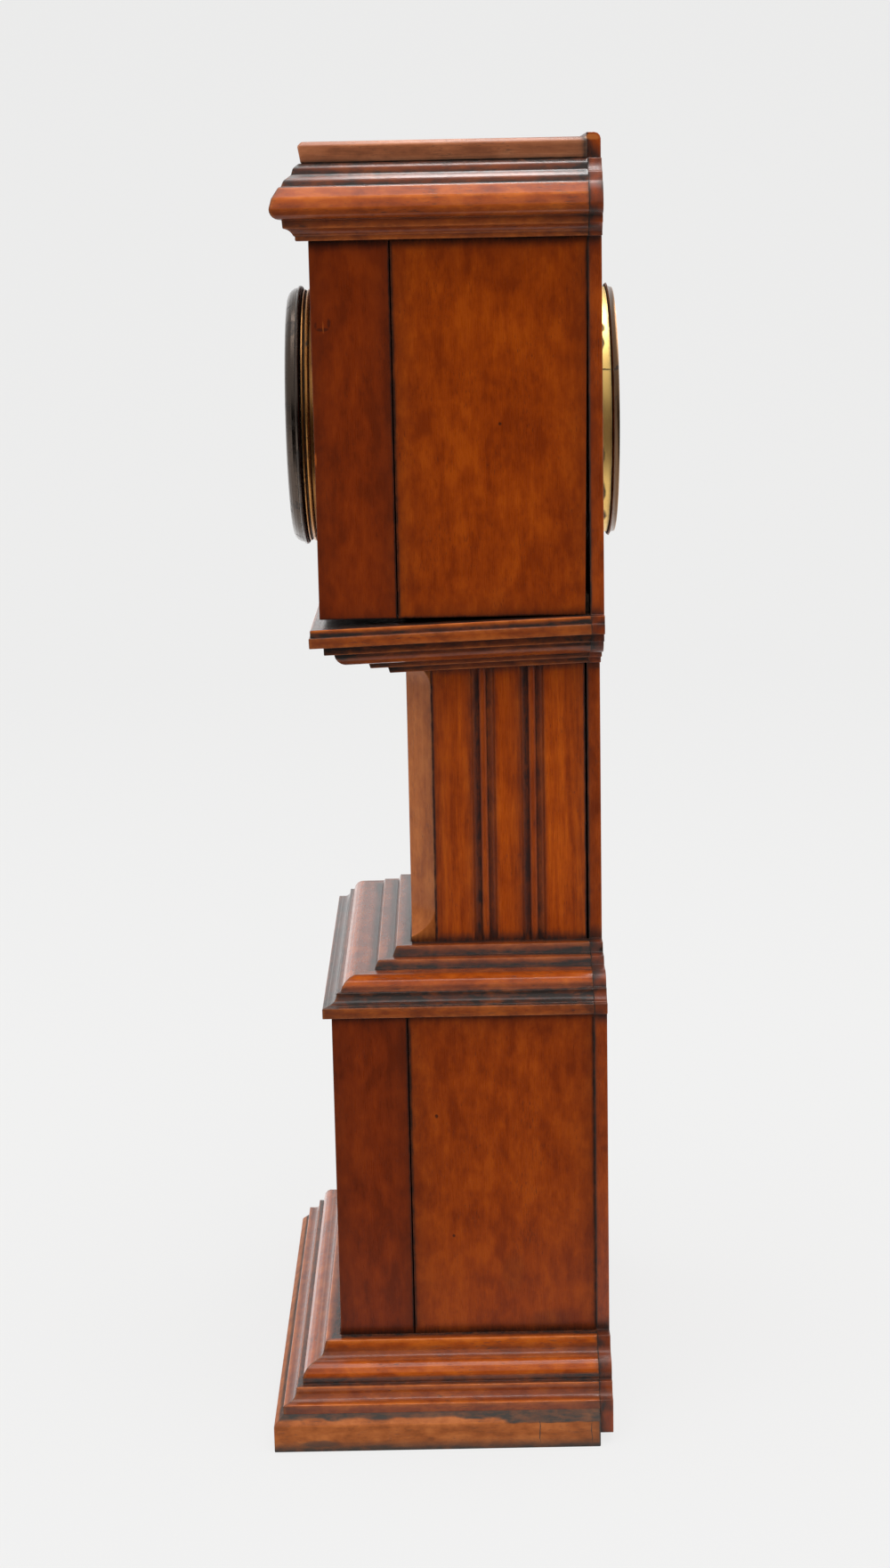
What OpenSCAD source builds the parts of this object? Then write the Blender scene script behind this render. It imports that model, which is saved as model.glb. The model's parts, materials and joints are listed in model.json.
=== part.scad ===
// Miniature longcase clock in polished walnut, with a drum movement held between
// a front and a rear bezel. Millimetres, +Z up, the dial faces -Y.
// The origin is the middle of the underside of the plinth board.

/* [Base] */
// Width of the base box across its two side boards
base_w = 160; // [152:1:176]
// Depth of the base box in front of the back board
base_d = 97.5; // [92:0.5:110]
// Height of the base box above the plinth board
base_h = 151.5; // [130:0.5:170]
// How far the plinth board stands out past the base box
plinth_lip = 25; // [23:0.5:32]
// Thickness of the plinth board
plinth_h = 11; // [8:0.5:16]

/* [Waist] */
// How far the waist is set back from the base, at the front and at each side
waist_in = 30; // [27:0.5:33]
// Height of the waist that shows between its two mouldings
waist_h = 107.5; // [80:0.5:140]
// Thickness of the waist's front board
waist_front_t = 9.5; // [8:0.5:11]
// Width of the stopped chamfer on each front corner of the waist
chamfer_w = 9.3; // [5:0.1:9.4]
// Length of the full corner left below the chamfer
chamfer_foot = 2; // [0.5:0.5:12]
// Length of the full corner left above it, less than nothing where it runs on behind the moulding
chamfer_head = -2; // [-6:0.5:10]
// Radius of the cutter that runs the chamfer out
chamfer_cut_r = 14; // [12:0.5:20]
// Width of each beaded channel in the waist sides
channel_w = 9; // [7:0.5:10]
// Depth of each beaded channel
channel_depth = 1.6; // [0.8:0.1:2.5]
// Width of the bead in a channel
channel_bead_w = 3.4; // [2:0.1:4.5]
// Middle of the rear channel, from the back board
channel_rear = 20.6; // [12:0.1:24]
// Middle of the front channel, from the back board
channel_front = 39; // [32:0.1:50]
// Gap between the waist sides and the back board
waist_back_gap = 0.8; // [0:0.1:0.9]

/* [Hood] */
// How far the hood stands out past the waist, at the front and at each side
hood_out = 30; // [27:0.5:33]
// Height of the hood between the shelf and the cornice
hood_h = 133.5; // [125:0.5:160]
// Height of the dial's centre above the hood's underside
dial_up = 67.4; // [62:0.1:72]
// Gap that has opened behind the hood sides at their lower end
hood_back_gap = 1.8; // [0:0.1:2.5]
// Angle that the shelf moulding has dropped at the front, in degrees
shelf_sag = 1.9; // [0:0.1:2.5]

/* [Boards] */
// Thickness of the front blocks of hood and base
block_t = 28; // [24:0.5:32]
// Thickness of the side boards
side_t = 8; // [6:0.5:10]
// Thickness of the inner boards that close base and hood
inner_t = 6; // [4:0.5:8]
// Thickness of the back board
back_t = 5; // [4:0.5:8]
// Height of the back board's lower end above the table
back_foot = 9.5; // [1:0.5:10]
// Open joint between a front block and its side boards
joint_gap = 0.4; // [0.1:0.1:0.8]
// Thickness of the top board
top_t = 7.3; // [5:0.1:10]
// How far the back board rises above the top board
back_rise = 1.5; // [0.5:0.5:12]

/* [Bezels] */
// Radius of the sleeves that both bezels push into the case
drum_r = 44.4; // [43:0.1:46]
// Wall of the sleeves
sleeve_t = 1; // [0.8:0.1:1.4]
// Length of the front sleeve inside the hood block
front_sleeve = 20; // [12:1:24]
// Radius of the hinged front bezel
bezel_r = 49.1; // [48:0.1:52]
// Radius of the fixed front seat
seat_r = 48; // [47.6:0.1:48.6]
// How far the fixed front seat stands out of the hood
seat_out = 6.2; // [5:0.1:8]
// Thickness of the hinged front bezel
bezel_t = 5.6; // [5.2:0.1:6.5]
// Radius of the opening in the front bezel
sight_r = 41; // [39:0.1:42]
// Thickness of the glass
glass_t = 1.2; // [1:0.1:1.6]
// How far the glass rises at its middle
glass_dome = 1.6; // [0.6:0.1:1.8]
// Radius of the rear band
band_r = 46.6; // [46:0.1:47.4]
// How far the rear band stands out of the back board
band_out = 5.3; // [4:0.1:7]
// Radius of the rear door's rim
door_r = 48; // [47.5:0.1:50]
// Thickness of the rear door's rim
door_t = 2.6; // [2:0.1:4]
// Radius of the hinge pins
pin_r = 0.6; // [0.5:0.05:0.8]
// Outer radius of the hinge knuckles
knuckle_r = 1.4; // [1.3:0.1:1.8]
// Length of the middle knuckle
knuckle_l = 6; // [4:0.5:9]

/* [Dial] */
// Thickness of the enamel dial
dial_t = 1.2; // [0.8:0.1:1.6]
// Thickness of the brass plate behind the dial
dial_plate_t = 1; // [0.8:0.1:1.5]
// Hour that the hands show
show_hour = 10; // [0:1:11]
// Minute that the hands show
show_minute = 9; // [0:1:59]
// Length of the minute hand from its centre
minute_l = 36; // [30:0.5:37]
// Length of the hour hand from its centre
hour_l = 18.5; // [14:0.5:19]
// Thickness of the hands
hand_t = 0.6; // [0.4:0.1:0.7]

/* [Movement] */
// Radius of the two movement plates
plate_r = 39; // [38:0.5:41]
// Thickness of the movement plates
plate_t = 2; // [1.6:0.1:2.4]
// Room between the two plates
plate_gap = 28; // [28:0.5:32]
// Room for the motion work between dial plate and front plate
motion_gap = 7.8; // [7.8:0.1:10]
// Radius of the pivots at the arbors' ends
pivot_r = 0.4; // [0.3:0.05:0.45]
// Running clearance round every pivot and shaft
run_fit = 0.05; // [0.02:0.01:0.08]
// Distance of the winding arbor below the dial's centre
barrel_drop = 22; // [21.5:0.1:23.5]
// Length of the pendulum from its pivot to the middle of the bob
pendulum_l = 74; // [72:0.5:75]
// Radius of the pendulum bob
bob_r = 10.5; // [9:0.5:11]
// Thickness of the pendulum bob at its middle
bob_t = 6; // [4:0.5:7]

/* [Train] */
// Teeth of the great wheel on the barrel
great_teeth = 80; // [72:2:88]
// Leaves of the intermediate pinion
inter_leaves = 10; // [8:1:12]
// Teeth of the intermediate wheel
inter_teeth = 72; // [66:2:80]
// Leaves of the centre pinion
centre_leaves = 12; // [10:1:14]
// Teeth of the centre wheel
centre_teeth = 90; // [80:2:96]
// Leaves of the third pinion
third_leaves = 7; // [7:1:8]
// Teeth of the third wheel
third_teeth = 81; // [75:1:84]
// Leaves of the escape pinion
escape_leaves = 6; // [6:1:8]
// Teeth of the escape wheel
escape_teeth = 38; // [34:1:40]
// Module of the great wheel and the intermediate pinion
great_module = 0.42; // [0.4:0.01:0.43]
// Module of the intermediate wheel and the centre pinion
inter_module = 0.4; // [0.38:0.01:0.42]
// Module of the centre wheel and the third pinion
centre_module = 0.34; // [0.32:0.01:0.36]
// Module of the third wheel and the escape pinion
third_module = 0.3; // [0.29:0.01:0.31]
// Module of the cannon pinion and the minute wheel
motion_module = 0.4; // [0.38:0.01:0.42]
// Radius of the escape wheel at the tips of its teeth
escape_r = 8; // [7.5:0.1:8.4]

/* [Hidden] */
$fn = 64;

walnut = [0.60, 0.27, 0.10];
walnut_dark = [0.40, 0.14, 0.07];
walnut_dull = [0.48, 0.27, 0.15];
brass = [0.83, 0.65, 0.30];
bronze = [0.36, 0.27, 0.18];
steel = [0.62, 0.63, 0.66];
blued = [0.10, 0.13, 0.32];
enamel = [0.95, 0.94, 0.90];

// Widths and depths that follow from the base
waist_w = base_w - 2 * waist_in;
waist_d = base_d - waist_in;
hood_w = waist_w + 2 * hood_out;
hood_d = waist_d + hood_out;

// Planes of the case, seen from above
back_y = (base_d + plinth_lip) / 2;
base_y = back_y - base_d;
waist_y = back_y - waist_d;
hood_y = back_y - hood_d;

// Heights of the mouldings
base_mould_h = 25;
step_h = 20;
shelf_h = 21.4;
cornice_h = 26.3;

// Levels up the case
z_base = plinth_h;
z_base_top = z_base + base_h;
z_waist = z_base_top + step_h;
z_shelf = z_waist + waist_h;
z_hood = z_shelf + shelf_h;
z_cornice = z_hood + hood_h;
z_top = z_cornice + cornice_h;
z_back_top = z_top + top_t + back_rise;
dial_z = z_hood + dial_up;

// How far the cornice reaches in over the hood, and how far each moulding reaches out
cornice_in = 14;
base_reach = 21.4;
step_reach = 3.2;
shelf_reach = 4.1;
cornice_reach = 12.6;
top_reach = 2.7;

// Points of a round stretch between two corners, with its rise to the left of the way
function arc(p, q, rise, n = 5) =
    let (d = q - p, c = norm(d), u = d / c, v = [-u[1], u[0]])
    let (r = (c * c / 4 + rise * rise) / (2 * rise), half = asin(c / (2 * r)))
    let (mid = (p + q) / 2 + v * (rise - r))
    [for (i = [0 : n]) let (a = half * (2 * i / n - 1)) mid + r * (v * cos(a) + u * sin(a))];

// Feet of the risers of the two stepped mouldings, from the waist out, and how far each riser leans in
riser_1 = 7.2;
riser_2 = 14;
step_lean = 1.4;
shelf_lean = 0.8;

// Each moulding's face, from its foot up: how far it stands out, and the height
base_face = concat(
    [[base_reach, 0], [base_reach, 6]],
    arc([20.2, 6.2], [16.6, 9.8], 1.0),
    [[16.6, 11.2], [14.2, 11.4]],
    arc([14.2, 12], [9.6, 18.6], -1.7),
    arc([9.3, 18.8], [6.3, 21.4], 0.7),
    [[5.6, base_mould_h]]
);
step_face = concat(
    [[step_reach, 0], [step_reach, 4], [1.6, 4.2]],
    arc([1.4, 4.4], [-2, 7.6], 0.9),
    [[-2, 8.4]],
    arc([-3.6, 8.6], [-10.6, 13.5], -1.8),
    [[riser_2 - waist_in, 13.5], [riser_2 - waist_in - step_lean, 16.5]],
    [[riser_1 - waist_in, 16.5], [riser_1 - waist_in - step_lean, step_h]]
);
shelf_face = concat(
    [[riser_1 - hood_out - shelf_lean, 0], [riser_1 - hood_out, 3.2]],
    [[riser_2 - hood_out - shelf_lean, 3.2], [riser_2 - hood_out, 6]],
    arc([-9.4, 6.2], [-4.3, 11], -1.3),
    [[-0.8, 11.4], [-0.8, 14.3], [0.2, 14.6]],
    [[shelf_reach, 14.8], [shelf_reach, 18.5], [3.5, 18.6], [3.5, shelf_h]]
);
cornice_face = concat(
    [[4.3, 0], [4.3, 1.6]],
    arc([4.8, 1.8], [8.3, 4.4], 0.6),
    [[8.5, 7.2]],
    arc([9.6, 7.4], [cornice_reach, 11], -0.9),
    arc([12.5, 11.6], [9.3, 18.3], -0.7),
    [[8.4, 18.5], [6.8, 21.6], [5.2, 22.3]],
    arc([4.9, 22.6], [2.4, cornice_h], 0.5)
);

function raised(face, half, z) = [for (p = face) [half + p[0], z + p[1]]];
function mirrored(points) = [for (i = [len(points) - 1 : -1 : 0]) [-points[i][0], points[i][1]]];

// Half of the back board's outline, from its foot to its top: it follows every moulding
back_top_half = hood_w / 2 - 1.8;
back_edge = concat(
    [[base_w / 2 + base_reach, back_foot]],
    raised(base_face, base_w / 2, z_base),
    [[base_w / 2, z_base + base_mould_h], [base_w / 2, z_base_top]],
    raised(step_face, base_w / 2, z_base_top),
    [[waist_w / 2, z_waist], [waist_w / 2, z_shelf]],
    raised(shelf_face, hood_w / 2, z_shelf),
    [[hood_w / 2, z_hood], [hood_w / 2, z_cornice]],
    raised(cornice_face, hood_w / 2, z_cornice),
    [[back_top_half, z_top], [back_top_half, z_back_top]]
);

// Levels of the drum, measured inwards from the hood's front face
bezel_joint = 0.3;
seat_front = -seat_out;
bezel_back = seat_front - bezel_joint;
bezel_front = bezel_back - bezel_t;
seat_lip = 2.4;
dial_front = -1.2;
dial_back = dial_front + dial_t;
dial_plate_back = dial_back + dial_plate_t;
front_plate_s = dial_plate_back + motion_gap;
between_s = front_plate_s + plate_t;
back_plate_s = between_s + plate_gap;
cock_s = back_plate_s + plate_t;
board_back_s = hood_d + back_t;
band_back = board_back_s + band_out;
door_front = band_back + bezel_joint;

// Radii inside the sleeves
sleeve_in = drum_r - sleeve_t;
dial_r = sleeve_in - 0.3;
bore_r = drum_r + 0.3;
glass_r = sight_r + 2.4;
glass_seat = 2.8;

// Hinges of the front bezel and the rear door, on the side away from the winder's right hand
front_hinge_x = -(bezel_r + knuckle_r + 0.2);
front_hinge_s = (seat_front + bezel_back) / 2;
rear_hinge_x = -(door_r + knuckle_r + 0.2);
rear_hinge_s = (band_back + door_front) / 2;
hinge_fit = 0.06;
knuckle_gap = 0.3;

// Nail notch of the rear door, cut across its rim and the band behind it
catch_z = 14;
catch_w = 1.6;

// Clamps: the rear band's flange, the screws and the straps with their tapped ears
flange_r = 37.5;
flange_up = 0.8;
flange_t = 1.2;
screw_r = 1;
screw_x = 40.4;
screw_grip = 3.4;
screw_head_t = 1.3;
screw_slot_w = 0.5;
strap_t = 1.2;
strap_w = 6;
strap_front = 3;
ear_t = 2.4;
ear_in = 2.2;
strap_end = hood_d - 12;

// Plan of the train: each arbor's place, right and up from the dial's centre
function pitch_r(teeth, module_mm) = teeth * module_mm / 2;
function root_r(teeth, module_mm) = pitch_r(teeth, module_mm) - 1.25 * module_mm;
function along(angle, length) = [length * cos(angle), length * sin(angle)];
function heading(p, q) = atan2(q[1] - p[1], q[0] - p[0]);

great_span = pitch_r(great_teeth + inter_leaves, great_module);
inter_span = pitch_r(inter_teeth + centre_leaves, inter_module);
centre_span = pitch_r(centre_teeth + third_leaves, centre_module);
third_span = pitch_r(third_teeth + escape_leaves, third_module);

// Teeth of the motion work, which turns the hour hand once for twelve turns of the minute hand
cannon_teeth = 12;
minute_teeth = 36;
minute_leaves = 10;
hour_teeth = 40;
motion_span = pitch_r(cannon_teeth + minute_teeth, motion_module);
hour_module = 2 * motion_span / (minute_leaves + hour_teeth);

centre_at = [0, 0];
barrel_at = [0, -barrel_drop];
inter_lean = acos((pow(barrel_drop, 2) + pow(inter_span, 2) - pow(great_span, 2))
    / (2 * barrel_drop * inter_span));
inter_at = along(-90 - inter_lean, inter_span);
third_at = along(45, centre_span);
escape_at = [0, third_at[1] + sqrt(pow(third_span, 2) - pow(third_at[0], 2))];
anchor_half = 7.5 * 180 / escape_teeth;
anchor_at = escape_at + [0, escape_r / cos(anchor_half)];
minute_at = along(160, motion_span);
click_at = barrel_at + [-9.5, -5.5];
click_lift = 0.35;

// Pillars between the plates
pillar_r = 2;
spigot_r = 1.2;
pillar_places = [for (angle = [40, 140, 220, 320]) along(angle, plate_r - 3.5)];

// Depths of the wheels between the plates, inwards from the back of the front plate
wheel_t = 1.2;
end_shake = 0.3;
centre_wheel_s = between_s + 1.5;
third_pinion_s = between_s + 0.9;
barrel_s = centre_wheel_s + wheel_t + 0.7;
barrel_l = 15.6;
great_s = barrel_s + barrel_l;
great_t = 2;
inter_pinion_s = great_s - 0.8;
inter_wheel_s = great_s + great_t + 2.2;
third_wheel_s = between_s + 14;
escape_wheel_s = inter_wheel_s;
barrel_r = pitch_r(great_teeth, great_module) - 1.1;
arbor_r = 1;
train_arbor_r = root_r(escape_leaves, third_module);
anchor_arbor_r = 0.8;
anchor_boss_r = anchor_arbor_r + 0.6;
pallet_lift = 0.45;

// Motion work, between the dial plate and the front plate
cannon_s = front_plate_s - 2.6;
hour_wheel_s = dial_plate_back + 1.4;
minute_wheel_s = cannon_s + 0.4;
minute_pinion_s = hour_wheel_s - 0.6;
cannon_bore = arbor_r + run_fit;
cannon_r = 1.55;
pipe_bore = cannon_r + run_fit;
pipe_r = 2.15;
dial_hole_r = pipe_r + 0.35;
winding_hole_r = 3.4;
stud_r = 0.8;
hour_hand_s = dial_front - 1.9;
minute_hand_s = hour_hand_s - 1.5;
square_w = 2.6;
square_front = dial_front - 1.1;
ratchet_s = front_plate_s - 2.3;
ratchet_t = 1.8;
ratchet_r = 6;
ratchet_teeth = 24;
winding_r = 1.9;
winding_pivot_r = 1.5;

// Pendulum and suspension, behind the back plate
crutch_s = cock_s + 1.2;
crutch_t = 1.2;
rod_s = crutch_s + crutch_t + 4.4;
rod_r = 0.7;
cheek_t = 1.2;
chop_w = 2.2;
hanger_pin_r = 0.5;
strip_l = 4;
fork_drop = 24;
fork_r = 0.45;
fork_x = rod_r + fork_r + 0.2;
bob_z = -pendulum_l;
nut_h = 2;

// Placing helpers: the drum's own frame has its origin on the hood's face at the dial's centre
module at_dial() {
    translate([0, hood_y, dial_z]) children();
}

module at_arbor(place) {
    translate([place[0], 0, place[1]]) children();
}

// A flat shape drawn in X and Z, made solid between two depths
module slab(s0, s1) {
    translate([0, s1, 0]) rotate([90, 0, 0]) linear_extrude(s1 - s0) children();
}

// A round bar along the arbors' direction
module rod(s0, s1, r) {
    translate([0, s1, 0]) rotate([90, 0, 0]) cylinder(h = s1 - s0, r = r);
}

// A piece turned round the dial's axis, from pairs of radius and depth
module turned(points) {
    rotate([90, 0, 0]) rotate_extrude() polygon([for (p = points) [p[0], -p[1]]]);
}

// The outline of a moulding, closed at the back where it reaches in
function closed(face, in) = concat([[-in, 0]], face, [[-in, face[len(face) - 1][1]]]);

// A length of moulding across the front of a box, mitred at both ends
module front_run(face, w, y, z, in, out) {
    intersection() {
        translate([w / 2 + out, y, z]) rotate([90, 0, -90]) linear_extrude(w + 2 * out)
            polygon(closed(face, in));
        linear_extrude(z_back_top) polygon([
            [-w / 2 + in, y + in], [w / 2 - in, y + in], [w / 2 + out, y - out], [-w / 2 - out, y - out]
        ]);
    }
}

// A length of moulding down the right side of a box, mitred at the front, square at the back
module side_run(face, w, y, z, in, out) {
    intersection() {
        translate([w / 2, back_y, z]) rotate([90, 0, 0]) linear_extrude(back_y - y + out)
            polygon(closed(face, in));
        linear_extrude(z_back_top) polygon([
            [w / 2 - in, y + in], [w / 2 + out, y - out], [w / 2 + out, back_y], [w / 2 - in, back_y]
        ]);
    }
}

module left_of(side) {
    if (side < 0) mirror([1, 0, 0]) children();
    else children();
}

module plinth_board() {
    color(walnut_dull) translate([-base_w / 2 - plinth_lip, base_y - plinth_lip, 0])
        cube([base_w + 2 * plinth_lip, base_d + plinth_lip, plinth_h]);
}

module base_moulding_front() {
    color(walnut) front_run(base_face, base_w, base_y, z_base, 0, base_reach);
}

module base_moulding_side(side) {
    color(walnut) left_of(side) side_run(base_face, base_w, base_y, z_base, 0, base_reach);
}

module base_front() {
    color(walnut_dark) translate([-base_w / 2, base_y, z_base]) cube([base_w, block_t, base_h]);
}

module base_side(side) {
    color(walnut) left_of(side) translate([base_w / 2 - side_t, base_y + block_t + joint_gap, z_base])
        cube([side_t, base_d - block_t - joint_gap, base_h]);
}

module base_top() {
    color(walnut_dull)
        translate([-base_w / 2 + side_t, base_y + block_t, z_base_top - inner_t])
            cube([base_w - 2 * side_t, base_d - block_t, inner_t]);
}

module step_moulding_front() {
    color(walnut) front_run(step_face, base_w, base_y, z_base_top, waist_in, step_reach);
}

module step_moulding_side(side) {
    color(walnut) left_of(side) side_run(step_face, base_w, base_y, z_base_top, waist_in, step_reach);
}

// The cutter for one stopped chamfer, at the waist's right front corner
module chamfer_cut() {
    depth = chamfer_w / sqrt(2);
    run_out = sqrt(pow(chamfer_cut_r, 2) - pow(chamfer_cut_r - depth, 2));
    low = z_waist + chamfer_foot + run_out;
    high = z_shelf - chamfer_head - run_out;
    bite = 0.02;
    translate([waist_w / 2, waist_y, 0]) rotate([0, 0, -45]) {
        translate([-depth, -chamfer_w, low]) cube([2 * depth, 2 * chamfer_w, high - low]);
        for (z = [low, high]) translate([chamfer_cut_r - bite - depth, -chamfer_w, z])
            rotate([-90, 0, 0]) cylinder(h = 2 * chamfer_w, r = chamfer_cut_r);
    }
}

module waist_front() {
    color(walnut) difference() {
        translate([-waist_w / 2, waist_y, z_base_top])
            cube([waist_w, waist_front_t, z_hood - z_base_top]);
        for (side = [-1, 1]) left_of(side) chamfer_cut();
    }
}

// Points of one channel with its bead, going back along the outer face of a waist side
function channel(mid) =
    let (x = waist_w / 2, low = x - channel_depth, c = channel_w / 2, b = channel_bead_w / 2)
    concat(
        arc([x, mid - c], [low, mid - b], 0.45),
        arc([low + 0.1, mid - b + 0.1], [low + 0.1, mid + b - 0.1], 0.1 - channel_depth, 6),
        arc([low, mid + b], [x, mid + c], 0.45)
    );

module waist_side(side) {
    front = waist_y + waist_front_t;
    rear = back_y - waist_back_gap;
    color(walnut) left_of(side) translate([0, 0, z_base_top]) linear_extrude(z_hood - z_base_top)
        polygon(concat(
            [[waist_w / 2 - side_t, rear], [waist_w / 2 - side_t, front], [waist_w / 2, front]],
            channel(back_y - channel_front),
            channel(back_y - channel_rear),
            [[waist_w / 2, rear]]
        ));
}

// The shelf moulding has opened at its joint: it hangs from the back and has dropped in front
module dropped() {
    difference() {
        translate([0, back_y, z_hood]) rotate([shelf_sag, 0, 0]) translate([0, -back_y, -z_hood])
            children();
        translate([-waist_w / 2, waist_y, 0]) cube([waist_w, base_d, z_back_top]);
        translate([-hood_w, back_y, 0]) cube([2 * hood_w, base_d, z_back_top]);
    }
}

module shelf_moulding_front() {
    color(walnut) dropped() front_run(shelf_face, hood_w, hood_y, z_shelf, hood_out + 2, shelf_reach);
}

module shelf_moulding_side(side) {
    color(walnut) left_of(side) dropped()
        side_run(shelf_face, hood_w, hood_y, z_shelf, hood_out + 2, shelf_reach);
}

module hood_floor() {
    color(walnut_dull) translate([-hood_w / 2 + side_t, hood_y + block_t, z_hood])
        cube([hood_w - 2 * side_t, hood_d - block_t, inner_t]);
}

module hood_front() {
    color(walnut_dark) difference() {
        translate([-hood_w / 2, hood_y, z_hood]) cube([hood_w, block_t, hood_h]);
        at_dial() rod(-1, block_t + 1, bore_r);
    }
}

// A hood side: its rear edge leans away from the back board towards its foot
module hood_side(side) {
    front = hood_y + block_t + joint_gap;
    color(walnut) left_of(side) translate([hood_w / 2 - side_t, 0, 0])
        rotate([90, 0, 90]) linear_extrude(side_t) polygon([
            [front, z_hood], [back_y - hood_back_gap, z_hood], [back_y, z_cornice], [front, z_cornice]
        ]);
}

module hood_ceiling() {
    color(walnut_dull) translate([-hood_w / 2 + side_t, hood_y + block_t, z_cornice - inner_t])
        cube([hood_w - 2 * side_t, hood_d - block_t, inner_t]);
}

module cornice_front() {
    color(walnut) front_run(cornice_face, hood_w, hood_y, z_cornice, cornice_in, cornice_reach);
}

module cornice_side(side) {
    color(walnut) left_of(side)
        side_run(cornice_face, hood_w, hood_y, z_cornice, cornice_in, cornice_reach);
}

// The top board: its front and its two ends lean out, with an eased upper edge
module top_board() {
    half = hood_w / 2;
    foot = top_reach - 1;
    ease = 1.4;
    color(walnut_dull) intersection() {
        translate([-hood_w, 0, z_top]) rotate([90, 0, 90]) linear_extrude(2 * hood_w) polygon([
            [back_y, 0], [hood_y - foot, 0], [hood_y - top_reach, top_t - ease],
            [hood_y - top_reach + ease, top_t], [back_y, top_t]
        ]);
        translate([0, back_y, z_top]) rotate([90, 0, 0]) linear_extrude(2 * hood_d) polygon([
            [half + foot, 0], [half + top_reach, top_t - ease], [half + top_reach - ease, top_t],
            [-half - top_reach + ease, top_t], [-half - top_reach, top_t - ease], [-half - foot, 0]
        ]);
    }
}

// The back board: sawn to the outline of the whole case, with a hole for the rear band
module back_board() {
    ease = 2.2;
    color(walnut) difference() {
        intersection() {
            translate([0, back_y + back_t, 0]) rotate([90, 0, 0]) linear_extrude(back_t)
                polygon(concat(back_edge, mirrored(back_edge)));
            translate([-base_w, 0, 0]) rotate([90, 0, 90]) linear_extrude(2 * base_w) polygon(concat(
                [[back_y, 0], [back_y + back_t, 0]],
                arc([back_y + back_t, z_back_top - ease], [back_y + back_t - ease, z_back_top], -0.6, 3),
                [[back_y, z_back_top]]
            ));
        }
        at_dial() rod(hood_d - 1, hood_d + back_t + 1, bore_r);
    }
}

// One knuckle of an upright hinge, joined to its ring by a leaf between two depths
module knuckle(x, s, z0, z1, leaf_s0, leaf_s1, leaf_x) {
    translate([x, s, z0]) cylinder(h = z1 - z0, r = knuckle_r);
    translate([x, leaf_s0, z0]) cube([leaf_x - x, leaf_s1 - leaf_s0, z1 - z0]);
}

// The three knuckles' heights: the middle one turns, the outer two stay
module outer_knuckles(x, s, leaf_s0, leaf_s1, leaf_x) {
    inner_z = knuckle_l / 2 + knuckle_gap;
    outer_z = inner_z + knuckle_l / 2;
    knuckle(x, s, inner_z, outer_z, leaf_s0, leaf_s1, leaf_x);
    knuckle(x, s, -outer_z, -inner_z, leaf_s0, leaf_s1, leaf_x);
}

module hinge_hole(x, s, fit) {
    translate([x, s, -knuckle_l * 2]) cylinder(h = knuckle_l * 4, r = pin_r + fit);
}

// The fixed front seat: a sleeve in the hood's bore and, in front of the wood, a plain band,
// a round ring, a groove and the ring that the glazed bezel closes on
module front_seat() {
    leaf_t = 1.2;
    plain_r = seat_r - 0.9;
    groove_r = seat_r - 1.2;
    plain_s = 0.47 * seat_front;
    groove_s = 0.76 * seat_front;
    color(brass) at_dial() difference() {
        union() {
            turned(concat(
                [[sleeve_in, front_sleeve], [drum_r, front_sleeve], [drum_r, 0], [plain_r, 0],
                    [plain_r, plain_s]],
                arc([plain_r + 0.3, plain_s - 0.1], [plain_r + 0.3, groove_s], 0.5),
                [[groove_r, groove_s - 0.1], [groove_r, groove_s - 0.5]],
                arc([plain_r + 0.4, groove_s - 0.6], [plain_r + 0.3, seat_front], 0.3, 3),
                [[dial_r - seat_lip / 2, seat_front], [dial_r - seat_lip / 2, dial_front],
                    [sleeve_in, dial_front]]
            ));
            outer_knuckles(front_hinge_x, front_hinge_s, seat_front, seat_front + leaf_t, 1.6 - seat_r);
        }
        hinge_hole(front_hinge_x, front_hinge_s, 0);
    }
}

// The hinged front bezel: a swelling face, a lip round its back edge, and a rebate for the glass
module front_bezel() {
    leaf_t = 1.2;
    leaf_x = 1.5 - bezel_r;
    rebate_r = glass_r + 0.2;
    glass_front = bezel_back - glass_seat - glass_t;
    face_r = bezel_r - 0.8;
    lip_front = bezel_back - 1.7;
    color(bronze) at_dial() difference() {
        union() {
            turned(concat(
                [[rebate_r, bezel_back], [rebate_r, glass_front], [sight_r, glass_front],
                    [sight_r + 0.4, glass_front - 0.8], [sight_r + 2.6, bezel_front + 0.4]],
                arc([sight_r + 3, bezel_front], [face_r, lip_front - 0.2], -1.2),
                [[face_r - 0.3, lip_front]],
                arc([face_r + 0.3, lip_front], [face_r + 0.3, bezel_back], -0.5)
            ));
            knuckle(front_hinge_x, front_hinge_s, -knuckle_l / 2, knuckle_l / 2,
                bezel_back - leaf_t, bezel_back, leaf_x);
        }
        hinge_hole(front_hinge_x, front_hinge_s, hinge_fit);
    }
}

// The domed glass: its flat rim lies in the front bezel's rebate
module glass() {
    front = bezel_back - glass_seat - glass_t;
    dome_r = sight_r - 0.3;
    color([0.85, 0.92, 0.95, 0.35]) at_dial() turned(concat(
        arc([0, front - glass_dome], [dome_r, front], -glass_dome / 4, 8),
        [[glass_r, front], [glass_r, front + glass_t]],
        arc([dome_r, front + glass_t], [0, front + glass_t - glass_dome], glass_dome / 4, 8)
    ));
}

// A disc of the dial's stack, with the centre hole and the winding hole
module dial_disc(r, s0, s1) {
    difference() {
        rod(s0, s1, r);
        rod(s0 - 1, s1 + 1, dial_hole_r);
        at_arbor(barrel_at) rod(s0 - 1, s1 + 1, winding_hole_r);
    }
}

module dial() {
    color(enamel) at_dial() dial_disc(dial_r, dial_front, dial_back);
}

// The brass plate behind the dial stands on the front plate by its three feet
module dial_plate() {
    foot_r = 1.5;
    color(brass) at_dial() {
        dial_disc(dial_r, dial_back, dial_plate_back);
        for (angle = [60, 180, 300])
            at_arbor(along(angle, plate_r - 6)) rod(dial_plate_back - 0.2, front_plate_s, foot_r);
    }
}

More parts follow.
